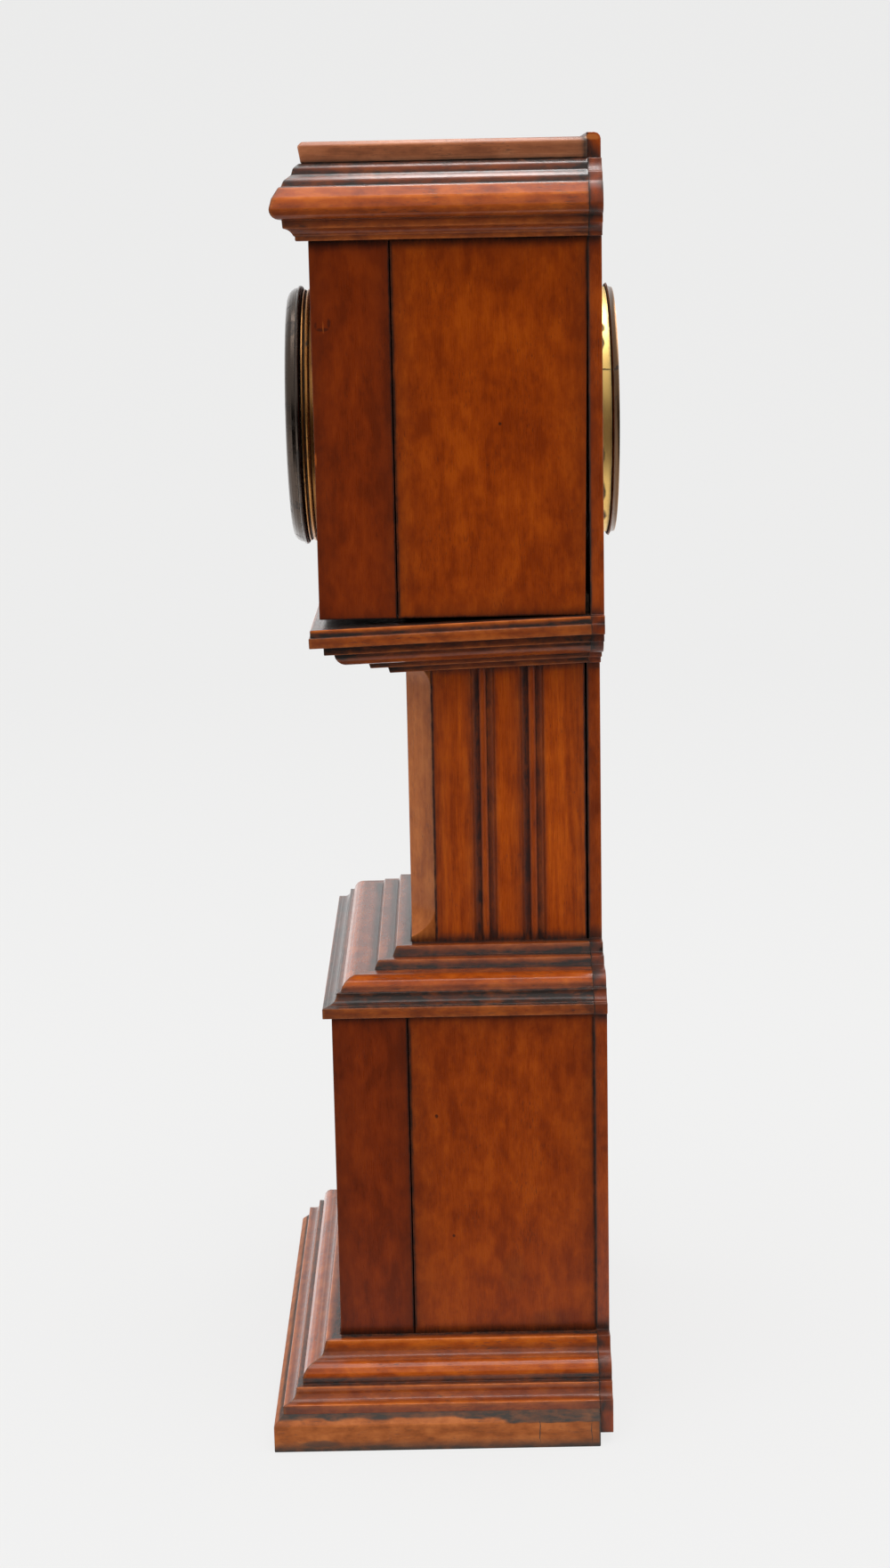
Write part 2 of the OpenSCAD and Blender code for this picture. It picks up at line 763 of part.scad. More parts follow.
// The rear band: a sleeve through the back board and an inner flange for the clamp screws
module rear_seat() {
    leaf_t = 1.2;
    wall = 1.2;
    board = board_back_s;
    flange_back = board + flange_up + flange_t;
    color(brass) at_dial() difference() {
        union() {
            turned([
                [sleeve_in, hood_d + 0.5], [drum_r, hood_d + 0.5], [drum_r, board], [band_r, board],
                [band_r, band_back], [band_r - wall, band_back], [band_r - wall, flange_back],
                [flange_r, flange_back], [flange_r, board + flange_up], [sleeve_in, board + flange_up]
            ]);
            outer_knuckles(rear_hinge_x, rear_hinge_s, band_back - leaf_t, band_back, 1 - band_r);
        }
        hinge_hole(rear_hinge_x, rear_hinge_s, 0);
        for (side = [-1, 1]) translate([side * screw_x, 0, 0])
            rod(board, band_back, screw_r + run_fit);
        translate([band_r - 0.8, band_back - 1.6, catch_z]) cube([2, 3, catch_w]);
    }
}

// The rear door: a rim round a thin disc, with a nail notch on the side away from its hinge
module rear_door() {
    leaf_t = 1.2;
    color(bronze) at_dial() difference() {
        union() {
            turned(concat(
                [[0, door_front + 0.5], [band_r - 2.4, door_front + 0.5], [band_r - 2, door_front],
                    [door_r - 0.4, door_front]],
                arc([door_r, door_front + 0.5], [door_r - 1.6, door_front + door_t], 0.5),
                [[band_r - 2, door_front + door_t - 0.3], [band_r - 2.8, door_front + 1.5],
                    [0, door_front + 1.5]]
            ));
            knuckle(rear_hinge_x, rear_hinge_s, -knuckle_l / 2, knuckle_l / 2,
                door_front, door_front + leaf_t, 1.5 - door_r);
        }
        hinge_hole(rear_hinge_x, rear_hinge_s, hinge_fit);
        translate([door_r - 2.2, door_front - 1, catch_z]) cube([3, door_t + 2, catch_w]);
    }
}

module hinge_pins() {
    half = knuckle_l + knuckle_gap + 0.3;
    color(steel) at_dial() {
        translate([front_hinge_x, front_hinge_s, -half]) cylinder(h = 2 * half, r = pin_r);
        translate([rear_hinge_x, rear_hinge_s, -half]) cylinder(h = 2 * half, r = pin_r);
    }
}

// Two brass straps run back from the front sleeve; their ends are tapped for the clamp screws
module clamp_straps() {
    color(brass) at_dial() for (side = [-1, 1]) left_of(side) difference() {
        union() {
            translate([sleeve_in - strap_t - 0.2, strap_front, -strap_w / 2])
                cube([strap_t, strap_end - strap_front, strap_w]);
            translate([screw_x - ear_in, strap_end - ear_t, -strap_w / 2])
                cube([sleeve_in - 0.2 - screw_x + ear_in, ear_t, strap_w]);
        }
        translate([screw_x, 0, 0]) rod(strap_end - 2 * ear_t, strap_end + ear_t, screw_r);
    }
}

module clamp_screws() {
    head = board_back_s + flange_up + flange_t;
    color(steel) at_dial() for (side = [-1, 1]) translate([side * screw_x, 0, 0]) difference() {
        union() {
            rod(strap_end - screw_grip, head, screw_r);
            rod(head, head + screw_head_t, screw_r * 1.9);
        }
        translate([-screw_r * 2, head + screw_head_t / 2, -screw_slot_w / 2])
            cube([screw_r * 4, screw_head_t, screw_slot_w]);
    }
}

// The flat outline of a toothed wheel: each tooth is cut from its root to its tip
function tooth_ring(n, tip, root, wide, narrow, turn) = [
    for (i = [0 : n - 1]) let (a = turn + 360 * i / n, pitch = 360 / n)
        for (c = [[root, -wide], [tip, -narrow], [tip, narrow], [root, wide]])
            along(a + pitch * c[1], c[0])
];

// A wheel with thin teeth, crossed out between rim and hub
module wheel_flat(n, module_mm, turn, crossings, hub) {
    r = pitch_r(n, module_mm);
    rim = r - 1.25 * module_mm - 1.3;
    difference() {
        polygon(tooth_ring(n, r + 0.85 * module_mm, r - 1.25 * module_mm, 0.24, 0.08, turn));
        difference() {
            circle(r = rim);
            circle(r = hub);
            for (i = [0 : crossings - 1]) rotate(360 * i / crossings)
                translate([0, -0.6]) square([rim + 1, 1.2]);
        }
    }
}

// A pinion, cut solid from its arbor
module pinion_flat(n, module_mm, turn) {
    r = pitch_r(n, module_mm);
    polygon(tooth_ring(n, r + 0.6 * module_mm, r - 1.25 * module_mm, 0.17, 0.1, turn));
}

// An arbor between the plates, with a pivot in each plate
module arbor(r) {
    rod(between_s + end_shake, back_plate_s - end_shake, r);
    rod(between_s - plate_t + 0.2, cock_s - 0.2, pivot_r);
}

module pivot_hole(place, r) {
    at_arbor(place) rod(-1, board_back_s, r + run_fit);
}

module front_plate() {
    color(brass) at_dial() {
        difference() {
            rod(front_plate_s, between_s, plate_r);
            pivot_hole(centre_at, arbor_r);
            pivot_hole(barrel_at, winding_pivot_r);
            for (place = [inter_at, third_at, escape_at, anchor_at]) pivot_hole(place, pivot_r);
            for (place = pillar_places) pivot_hole(place, spigot_r);
        }
        at_arbor(minute_at) rod(minute_pinion_s - 0.6, front_plate_s + 0.2, stud_r);
        at_arbor(click_at) rod(ratchet_s - 0.5, front_plate_s + 0.2, stud_r);
    }
}

module back_plate() {
    color(brass) at_dial() difference() {
        rod(back_plate_s, cock_s, plate_r);
        pivot_hole(centre_at, pivot_r);
        pivot_hole(barrel_at, winding_pivot_r);
        for (place = [inter_at, third_at, escape_at]) pivot_hole(place, pivot_r);
        pivot_hole(anchor_at, anchor_arbor_r);
        for (place = pillar_places) pivot_hole(place, spigot_r);
    }
}

module pillars() {
    color(brass) at_dial() for (place = pillar_places) at_arbor(place) {
        rod(between_s, back_plate_s, pillar_r);
        rod(front_plate_s - 0.4, cock_s + 1.6, spigot_r);
    }
}

// The barrel turns on the winding arbor; its great wheel is screwed to its rear edge
module barrel() {
    color(brass) at_dial() at_arbor(barrel_at) difference() {
        union() {
            rod(barrel_s, great_s, barrel_r);
            slab(great_s, great_s + great_t) polygon(tooth_ring(
                great_teeth, pitch_r(great_teeth, great_module) + 0.85 * great_module,
                pitch_r(great_teeth, great_module) - 1.25 * great_module, 0.24, 0.08,
                heading(barrel_at, inter_at)
            ));
        }
        rod(barrel_s - 1, great_s + great_t + 1, winding_r + run_fit);
        difference() {
            rod(barrel_s - 1, barrel_s + 0.8, barrel_r - 1.4);
            rod(barrel_s - 2, barrel_s + 2, winding_r + 2.6);
        }
    }
}

module winding_arbor() {
    half = square_w / 2;
    color(steel) at_dial() at_arbor(barrel_at) {
        slab(square_front, ratchet_s + ratchet_t + 0.2) translate([-half, -half]) square(square_w);
        rod(ratchet_s + ratchet_t, cock_s - 0.2, winding_pivot_r);
        rod(between_s + end_shake, back_plate_s - end_shake, winding_r);
    }
}

// Saw teeth of the ratchet, steep on the side that the click holds
module ratchet_wheel() {
    half = square_w / 2 + run_fit;
    tooth = 360 / ratchet_teeth;
    color(steel) at_dial() at_arbor(barrel_at) slab(ratchet_s, ratchet_s + ratchet_t) difference() {
        polygon([
            for (i = [0 : ratchet_teeth - 1])
                for (c = [[ratchet_r - 0.9, 0], [ratchet_r, 0.12], [ratchet_r - 0.8, 0.92]])
                    along(tooth * (i + c[1]), c[0])
        ]);
        translate([-half, -half]) square(2 * half);
    }
}

// The click rests lifted just clear of the ratchet, on its stud in the front plate
module click() {
    tip = barrel_at + along(160, ratchet_r + click_lift);
    reach = heading(click_at, tip);
    length = norm(tip - click_at);
    color(steel) at_dial() at_arbor(click_at) slab(ratchet_s, ratchet_s + ratchet_t) difference() {
        union() {
            circle(r = 1.7);
            rotate(reach) polygon([
                [0, -1.5], [length - 3.2, 0.2], [length, 0], [length, 0.6], [length - 3, 1.8], [0, 1.5]
            ]);
        }
        circle(r = stud_r + run_fit);
    }
}

module inter_wheel() {
    color(brass) at_dial() at_arbor(inter_at) {
        arbor(train_arbor_r);
        slab(inter_pinion_s, great_s + great_t + 0.8)
            pinion_flat(inter_leaves, great_module, heading(inter_at, barrel_at) + 180 / inter_leaves);
        slab(inter_wheel_s, inter_wheel_s + wheel_t)
            wheel_flat(inter_teeth, inter_module, heading(inter_at, centre_at), 5, 2.4);
    }
}

module centre_wheel() {
    color(brass) at_dial() {
        rod(minute_hand_s - hand_t - 0.5, back_plate_s - end_shake, arbor_r);
        rod(back_plate_s - end_shake - 0.1, cock_s - 0.2, pivot_r);
        slab(inter_wheel_s - 0.8, inter_wheel_s + wheel_t + 0.8)
            pinion_flat(centre_leaves, inter_module, heading(centre_at, inter_at) + 180 / centre_leaves);
        slab(centre_wheel_s, centre_wheel_s + wheel_t)
            wheel_flat(centre_teeth, centre_module, heading(centre_at, third_at), 5, 2.4);
    }
}

module third_wheel() {
    color(brass) at_dial() at_arbor(third_at) {
        arbor(train_arbor_r);
        slab(third_pinion_s, centre_wheel_s + wheel_t + 0.6)
            pinion_flat(third_leaves, centre_module, heading(third_at, centre_at) + 180 / third_leaves);
        slab(third_wheel_s, third_wheel_s + wheel_t)
            wheel_flat(third_teeth, third_module, heading(third_at, escape_at), 5, 2);
    }
}

// The escape wheel: fine raked teeth, four crossings
module escape_wheel() {
    tooth = 360 / escape_teeth;
    tooth_foot = escape_r - 1.1;
    rim = tooth_foot - 1;
    color(brass) at_dial() at_arbor(escape_at) {
        arbor(train_arbor_r);
        slab(third_wheel_s - 0.8, third_wheel_s + wheel_t + 0.8)
            pinion_flat(escape_leaves, third_module, heading(escape_at, third_at) + 180 / escape_leaves);
        slab(escape_wheel_s, escape_wheel_s + wheel_t) difference() {
            polygon([
                for (i = [0 : escape_teeth - 1])
                    for (c = [[tooth_foot, 0], [escape_r, 0.5], [escape_r, 0.58], [tooth_foot, 0.5]])
                        along(-tooth * (i + c[1]), c[0])
            ]);
            difference() {
                circle(r = rim);
                circle(r = 1.8);
                for (angle = [0 : 90 : 270]) rotate(angle) translate([0, -0.5]) square([rim + 1, 1]);
            }
        }
    }
}

// The anchor spans seven and a half teeth and hangs its crutch behind the back plate
module anchor() {
    tip_r = escape_r + pallet_lift;
    tip_x = tip_r * sin(anchor_half);
    tip_z = tip_r * cos(anchor_half) - (anchor_at[1] - escape_at[1]);
    color(steel) at_dial() at_arbor(anchor_at) {
        rod(between_s + end_shake, crutch_s + crutch_t, anchor_arbor_r);
        rod(front_plate_s + 0.2, between_s + end_shake + 0.1, pivot_r);
        slab(escape_wheel_s - 0.5, escape_wheel_s + wheel_t + 0.5) union() {
            circle(r = anchor_boss_r);
            for (side = [-1, 1]) mirror([side < 0 ? 1 : 0, 0]) polygon([
                [0, 1.4], [tip_x + 0.9, -0.6], [tip_x + 1.3, tip_z + 0.4],
                [tip_x, tip_z], [tip_x - 0.2, tip_z + 1.1], [0, -1.1]
            ]);
        }
        slab(crutch_s, crutch_s + crutch_t) union() {
            circle(r = anchor_boss_r);
            translate([-0.7, -fork_drop]) square([1.4, fork_drop]);
            translate([-fork_x - fork_r, -fork_drop - 1]) square([2 * (fork_x + fork_r), 2]);
        }
        for (side = [-1, 1]) translate([side * fork_x, 0, -fork_drop])
            rod(crutch_s + crutch_t - 0.2, rod_s + 1.2, fork_r);
    }
}

// The cannon pinion sits on the centre arbor and carries the minute hand
module cannon_pinion() {
    color(steel) at_dial() difference() {
        union() {
            rod(minute_hand_s - hand_t, front_plate_s - 0.4, cannon_r);
            slab(cannon_s, front_plate_s - 0.5)
                pinion_flat(cannon_teeth, motion_module, heading(centre_at, minute_at));
        }
        rod(minute_hand_s - hand_t - 1, front_plate_s, cannon_bore);
    }
}

module minute_wheel() {
    turn = heading(minute_at, centre_at);
    color(brass) at_dial() at_arbor(minute_at) difference() {
        union() {
            slab(minute_wheel_s, minute_wheel_s + wheel_t)
                wheel_flat(minute_teeth, motion_module, turn + 180 / minute_teeth, 4, 2.2);
            slab(minute_pinion_s, minute_wheel_s + 0.2) pinion_flat(minute_leaves, hour_module, turn);
        }
        rod(0, front_plate_s, stud_r + run_fit);
    }
}

// The hour wheel turns on the cannon's pipe and carries the hour hand through the dial
module hour_wheel() {
    turn = heading(centre_at, minute_at) + 180 / hour_teeth;
    color(brass) at_dial() difference() {
        union() {
            rod(hour_hand_s - hand_t, hour_wheel_s + wheel_t, pipe_r);
            slab(hour_wheel_s, hour_wheel_s + wheel_t) wheel_flat(hour_teeth, hour_module, turn, 4, 3);
        }
        rod(hour_hand_s - 2, hour_wheel_s + wheel_t + 1, pipe_bore);
    }
}

// A tapering hand with a pierced moon near its tip, turned from twelve by an angle
module hand(length, boss, moon, bore, s, angle) {
    eye = 0.72 * length;
    stem = eye - moon + 0.2;
    rear = s + hand_t;
    at_dial() rotate([0, angle, 0]) difference() {
        union() {
            rod(s, rear, boss);
            slab(s, rear) polygon([[-0.75, 0], [-0.45, stem], [0.45, stem], [0.75, 0]]);
            translate([0, 0, eye]) rod(s, rear, moon);
            slab(s, rear) polygon([[-0.7, eye + 0.8 * moon], [0, length], [0.7, eye + 0.8 * moon]]);
        }
        translate([0, 0, eye + 0.1 * moon]) rod(s - 1, rear + 1, 0.62 * moon);
        rod(s - 1, rear + 1, bore);
    }
}

module hour_hand() {
    color(blued) hand(hour_l, 3.1, 2.3, pipe_r, hour_hand_s - hand_t, 30 * (show_hour + show_minute / 60));
}

module minute_hand() {
    color(blued) hand(minute_l, 2.6, 2, cannon_r, minute_hand_s - hand_t, 6 * show_minute);
}

// The cock on the back plate: two cheeks carry the pendulum's pin
module suspension_cock() {
    arm_z = 5.6;
    foot_z = 3.2;
    foot_h = 7;
    half = chop_w / 2 + 1.2;
    color(brass) at_dial() at_arbor(anchor_at) difference() {
        union() {
            translate([-5, cock_s, foot_z]) cube([10, 1.4, foot_h]);
            translate([-2.4, cock_s, arm_z]) cube([4.8, rod_s + half + cheek_t - cock_s, 2.4]);
            for (s = [rod_s - half - cheek_t, rod_s + half])
                translate([-2.4, s, -1.8]) cube([4.8, cheek_t, arm_z + 2]);
        }
        rod(rod_s - half - 2 * cheek_t, rod_s + half + 2 * cheek_t, hanger_pin_r + run_fit);
    }
}

// Two brass chops joined by a steel strip; the upper one hangs on its pin in the cock
module suspension_spring() {
    reach = chop_w / 2 + 1.2 + cheek_t;
    color(steel) at_dial() at_arbor(anchor_at) {
        rod(rod_s - reach, rod_s + reach, hanger_pin_r);
        translate([-1.3, rod_s - chop_w / 2, -1.6]) cube([2.6, chop_w, 3.2]);
        translate([-0.12, rod_s - chop_w / 2 + 0.2, -1.6 - strip_l]) cube([0.24, chop_w - 0.4, strip_l]);
        translate([-1.1, rod_s - chop_w / 2, -1.6 - strip_l - 2.4]) cube([2.2, chop_w, 2.4]);
    }
}

module pendulum_rod() {
    top = -1.6 - strip_l - 2.4;
    foot = bob_z - bob_r - nut_h - 1.2;
    color(steel) at_dial() at_arbor(anchor_at)
        translate([0, rod_s, foot]) cylinder(h = top - foot, r = rod_r);
}

// A lens-shaped bob, bored for the rod
module pendulum_bob() {
    half = bob_t / 2;
    color(brass) at_dial() at_arbor(anchor_at) translate([0, rod_s, bob_z]) difference() {
        rotate([90, 0, 0]) rotate_extrude() polygon(concat(
            arc([0, -half], [bob_r, -0.5], -1.1, 5),
            arc([bob_r, 0.5], [0, half], -1.1, 5)
        ));
        translate([0, 0, -bob_r - 1]) cylinder(h = 2 * bob_r + 2, r = rod_r + run_fit);
    }
}

module rating_nut() {
    color(brass) at_dial() at_arbor(anchor_at)
        translate([0, rod_s, bob_z - bob_r - nut_h]) difference() {
            cylinder(h = nut_h, r = 2.1);
            translate([0, 0, -1]) cylinder(h = nut_h + 2, r = rod_r + run_fit);
        }
}

plinth_board();
base_moulding_front();
base_moulding_side(-1);  // base_moulding_left
base_moulding_side(1);  // base_moulding_right
base_front();
base_side(-1);  // base_side_left
base_side(1);  // base_side_right
base_top();
step_moulding_front();
step_moulding_side(-1);  // step_moulding_left
step_moulding_side(1);  // step_moulding_right
waist_front();
waist_side(-1);  // waist_side_left
waist_side(1);  // waist_side_right
shelf_moulding_front();
shelf_moulding_side(-1);  // shelf_moulding_left
shelf_moulding_side(1);  // shelf_moulding_right
hood_floor();
hood_front();
hood_side(-1);  // hood_side_left
hood_side(1);  // hood_side_right
hood_ceiling();
cornice_front();
cornice_side(-1);  // cornice_left
cornice_side(1);  // cornice_right
top_board();
back_board();
front_seat();
front_bezel();
glass();
dial();
dial_plate();
rear_seat();
rear_door();
hinge_pins();
clamp_straps();
clamp_screws();
front_plate();
back_plate();
pillars();
barrel();
winding_arbor();
ratchet_wheel();
click();
inter_wheel();
centre_wheel();
third_wheel();
escape_wheel();
anchor();
cannon_pinion();
minute_wheel();
hour_wheel();
hour_hand();
minute_hand();
suspension_cock();
suspension_spring();
pendulum_rod();
pendulum_bob();
rating_nut();
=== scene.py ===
"""Dresses a miniature longcase clock for a studio photograph.

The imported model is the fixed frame, in metres: +Z is up and the dial faces -Y. Wooden pieces are rebuilt
round the frame's own sections with the softened arrises and slight waver of hand work. Metal, enamel and
glass pieces keep the frame's shapes and get their finishes, and the dial gets its painted figures.
"""

from __future__ import annotations

import json
import logging
import math
from collections.abc import Callable
from dataclasses import dataclass
from enum import Enum

import bmesh
import bpy
from mathutils import Matrix, Vector, noise
from mathutils.kdtree import KDTree

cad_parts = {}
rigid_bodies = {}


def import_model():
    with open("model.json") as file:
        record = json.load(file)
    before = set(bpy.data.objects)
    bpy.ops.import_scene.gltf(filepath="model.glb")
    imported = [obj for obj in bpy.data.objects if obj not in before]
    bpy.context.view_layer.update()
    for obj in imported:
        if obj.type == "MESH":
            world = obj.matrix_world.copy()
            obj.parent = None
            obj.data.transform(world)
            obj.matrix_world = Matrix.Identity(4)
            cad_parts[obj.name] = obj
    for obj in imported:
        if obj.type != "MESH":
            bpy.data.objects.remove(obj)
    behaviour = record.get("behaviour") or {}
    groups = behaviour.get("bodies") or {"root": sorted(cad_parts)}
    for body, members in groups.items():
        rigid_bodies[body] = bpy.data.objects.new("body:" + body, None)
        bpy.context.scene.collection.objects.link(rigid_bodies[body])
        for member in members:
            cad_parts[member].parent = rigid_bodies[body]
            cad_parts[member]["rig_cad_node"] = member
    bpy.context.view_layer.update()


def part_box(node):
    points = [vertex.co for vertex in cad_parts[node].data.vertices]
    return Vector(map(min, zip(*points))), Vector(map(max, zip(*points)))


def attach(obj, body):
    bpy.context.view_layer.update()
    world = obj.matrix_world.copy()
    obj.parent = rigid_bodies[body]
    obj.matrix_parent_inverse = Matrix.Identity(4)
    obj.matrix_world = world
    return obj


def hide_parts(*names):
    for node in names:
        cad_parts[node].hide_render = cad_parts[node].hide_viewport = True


LOG = logging.getLogger("longcase_clock")
MM = 0.001
CASE = "case"
# Vertices this close are one, and faces that turn by less than this are one.
WELD = 0.002 * MM
FLAT = math.radians(0.5)
# New pieces keep a hard edge where their faces turn by more than this.
SHARP = math.radians(34.0)
# Corners that turn by less than this stay as they are; a rounded one takes this share of its stretches.
STRAIGHT = math.radians(24.0)
SHARE = 0.42
# A vertex this near a cut lies on it, and one this near a board's face belongs to the face, in metres.
ON_PLANE = 1e-7
LEVEL = 2e-6

Triple = tuple[float, float, float]
Colour = Triple
Point = tuple[float, float]
Zone = tuple[float, float, float, float]
Socket = bpy.types.NodeSocket
Node = bpy.types.Node
Tree = bpy.types.NodeTree
Material = bpy.types.Material
Mesh = bpy.types.Mesh
Object = bpy.types.Object
Shape = bmesh.types.BMesh
Place = Callable[[float, float], Vector]


class Grain(Enum):
    """The row axis that the wood's fibres follow."""

    ALONG_X = "x"
    ALONG_Y = "y"
    ALONG_Z = "z"


class Graph:
    """Short calls for a node tree: each gives back the socket that carries its result."""

    def __init__(self, tree: Tree) -> None:
        """Starts an empty graph in a node tree."""
        self.tree = tree
        tree.nodes.clear()

    def node(self, kind: str, **settings: object) -> Node:
        """Adds a node of Blender's own type name and sets its properties."""
        made = self.tree.nodes.new(kind)
        for name, value in settings.items():
            setattr(made, name, value)
        return made

    def feed(self, node: Node, **inputs: object) -> Node:
        """Links or sets a node's inputs; an underscore in a name stands for a space."""
        for name, value in inputs.items():
            self.put(node.inputs[name.replace("_", " ")], value)
        return node

    def put(self, target: Socket, value: object) -> None:
        """Links a socket to an input, or sets the input's value."""
        if isinstance(value, Socket):
            self.tree.links.new(value, target)
        elif isinstance(value, tuple) and len(value) == 3 and target.type == "RGBA":
            target.default_value = (*value, 1.0)
        else:
            target.default_value = value

    def maths(self, operation: str, a: object, b: object = 0.0, clamp: bool = False) -> Socket:
        """Does one sum on two numbers or sockets, kept from 0 to 1 when clamped."""
        made = self.node("ShaderNodeMath", operation=operation, use_clamp=clamp)
        self.put(made.inputs[0], a)
        self.put(made.inputs[1], b)
        return made.outputs[0]

    def times(self, a: object, b: object, clamp: bool = False) -> Socket:
        """Multiplies two numbers."""
        return self.maths("MULTIPLY", a, b, clamp)

    def plus(self, a: object, b: object) -> Socket:
        """Adds two numbers."""
        return self.maths("ADD", a, b)

    def minus(self, a: object, b: object) -> Socket:
        """Takes the second number from the first."""
        return self.maths("SUBTRACT", a, b)

    def most(self, a: object, b: object) -> Socket:
        """Gives the larger of two numbers."""
        return self.maths("MAXIMUM", a, b)

    def blend(self, factor: object, a: object, b: object, mode: str = "MIX") -> Socket:
        """Mixes two colours; the factor says how much of the second one shows."""
        made = self.node("ShaderNodeMix", data_type="RGBA", blend_type=mode, clamp_factor=True)
        for slot, value in ((0, factor), (6, a), (7, b)):
            self.put(made.inputs[slot], value)
        return made.outputs[2]

    def between(
        self, value: object, low: float, high: float, first: float = 0.0, last: float = 1.0,
    ) -> Socket:
        """Spreads the stretch of a value from low to high smoothly over the range from first to last."""
        made = self.node("ShaderNodeMapRange", interpolation_type="SMOOTHSTEP")
        self.feed(made, Value=value, From_Min=low, From_Max=high, To_Min=first, To_Max=last)
        return made.outputs[0]

    def vector(self, operation: str, *parts: object) -> Node:
        """Does one sum on vectors."""
        made = self.node("ShaderNodeVectorMath", operation=operation)
        for target, value in zip(made.inputs, parts):
            self.put(target, value)
        return made

    def cloud(
        self, at: Socket, size: Triple, detail: float = 3.0, rough: float = 0.6, swirl: float = 0.0,
    ) -> Socket:
        """Samples soft noise from 0 to 1.

        Args:
            at: Where to sample.
            size: Features in a unit of the vector, along each axis.
            detail: Octaves.
            rough: Weight of the finer octaves.
            swirl: How much the noise is distorted.

        Returns:
            The noise's socket.
        """
        made = self.node("ShaderNodeTexNoise")
        place = self.vector("MULTIPLY", at, size).outputs[0]
        self.feed(made, Vector=place, Scale=1.0, Detail=detail, Roughness=rough, Distortion=swirl)
        return made.outputs["Fac"]

    def group(self, tree: Tree, **inputs: object) -> Node:
        """Adds a shared group and feeds it."""
        return self.feed(self.node("ShaderNodeGroup", node_tree=tree), **inputs)

    def bump(self, height: Socket, strength: float, distance: float) -> Socket:
        """Turns a height into a normal."""
        made = self.node("ShaderNodeBump")
        return self.feed(made, Height=height, Strength=strength, Distance=distance).outputs[0]

    def either(self, factor: Socket, first: Socket, last: Socket) -> Socket:
        """Mixes two shaders."""
        made = self.node("ShaderNodeMixShader")
        for target, value in zip(made.inputs, (factor, first, last)):
            self.put(target, value)
        return made.outputs[0]

    def strayed(self, at: Socket, size: float, reach: float) -> Socket:
        """Lets a place wander, so that what is drawn there has no straight edges."""
        wander = self.feed(self.node("ShaderNodeTexNoise"), Vector=at, Scale=size, Detail=3.0)
        return self.vector("MULTIPLY_ADD", wander.outputs["Color"], (reach, reach, reach), at).outputs[0]


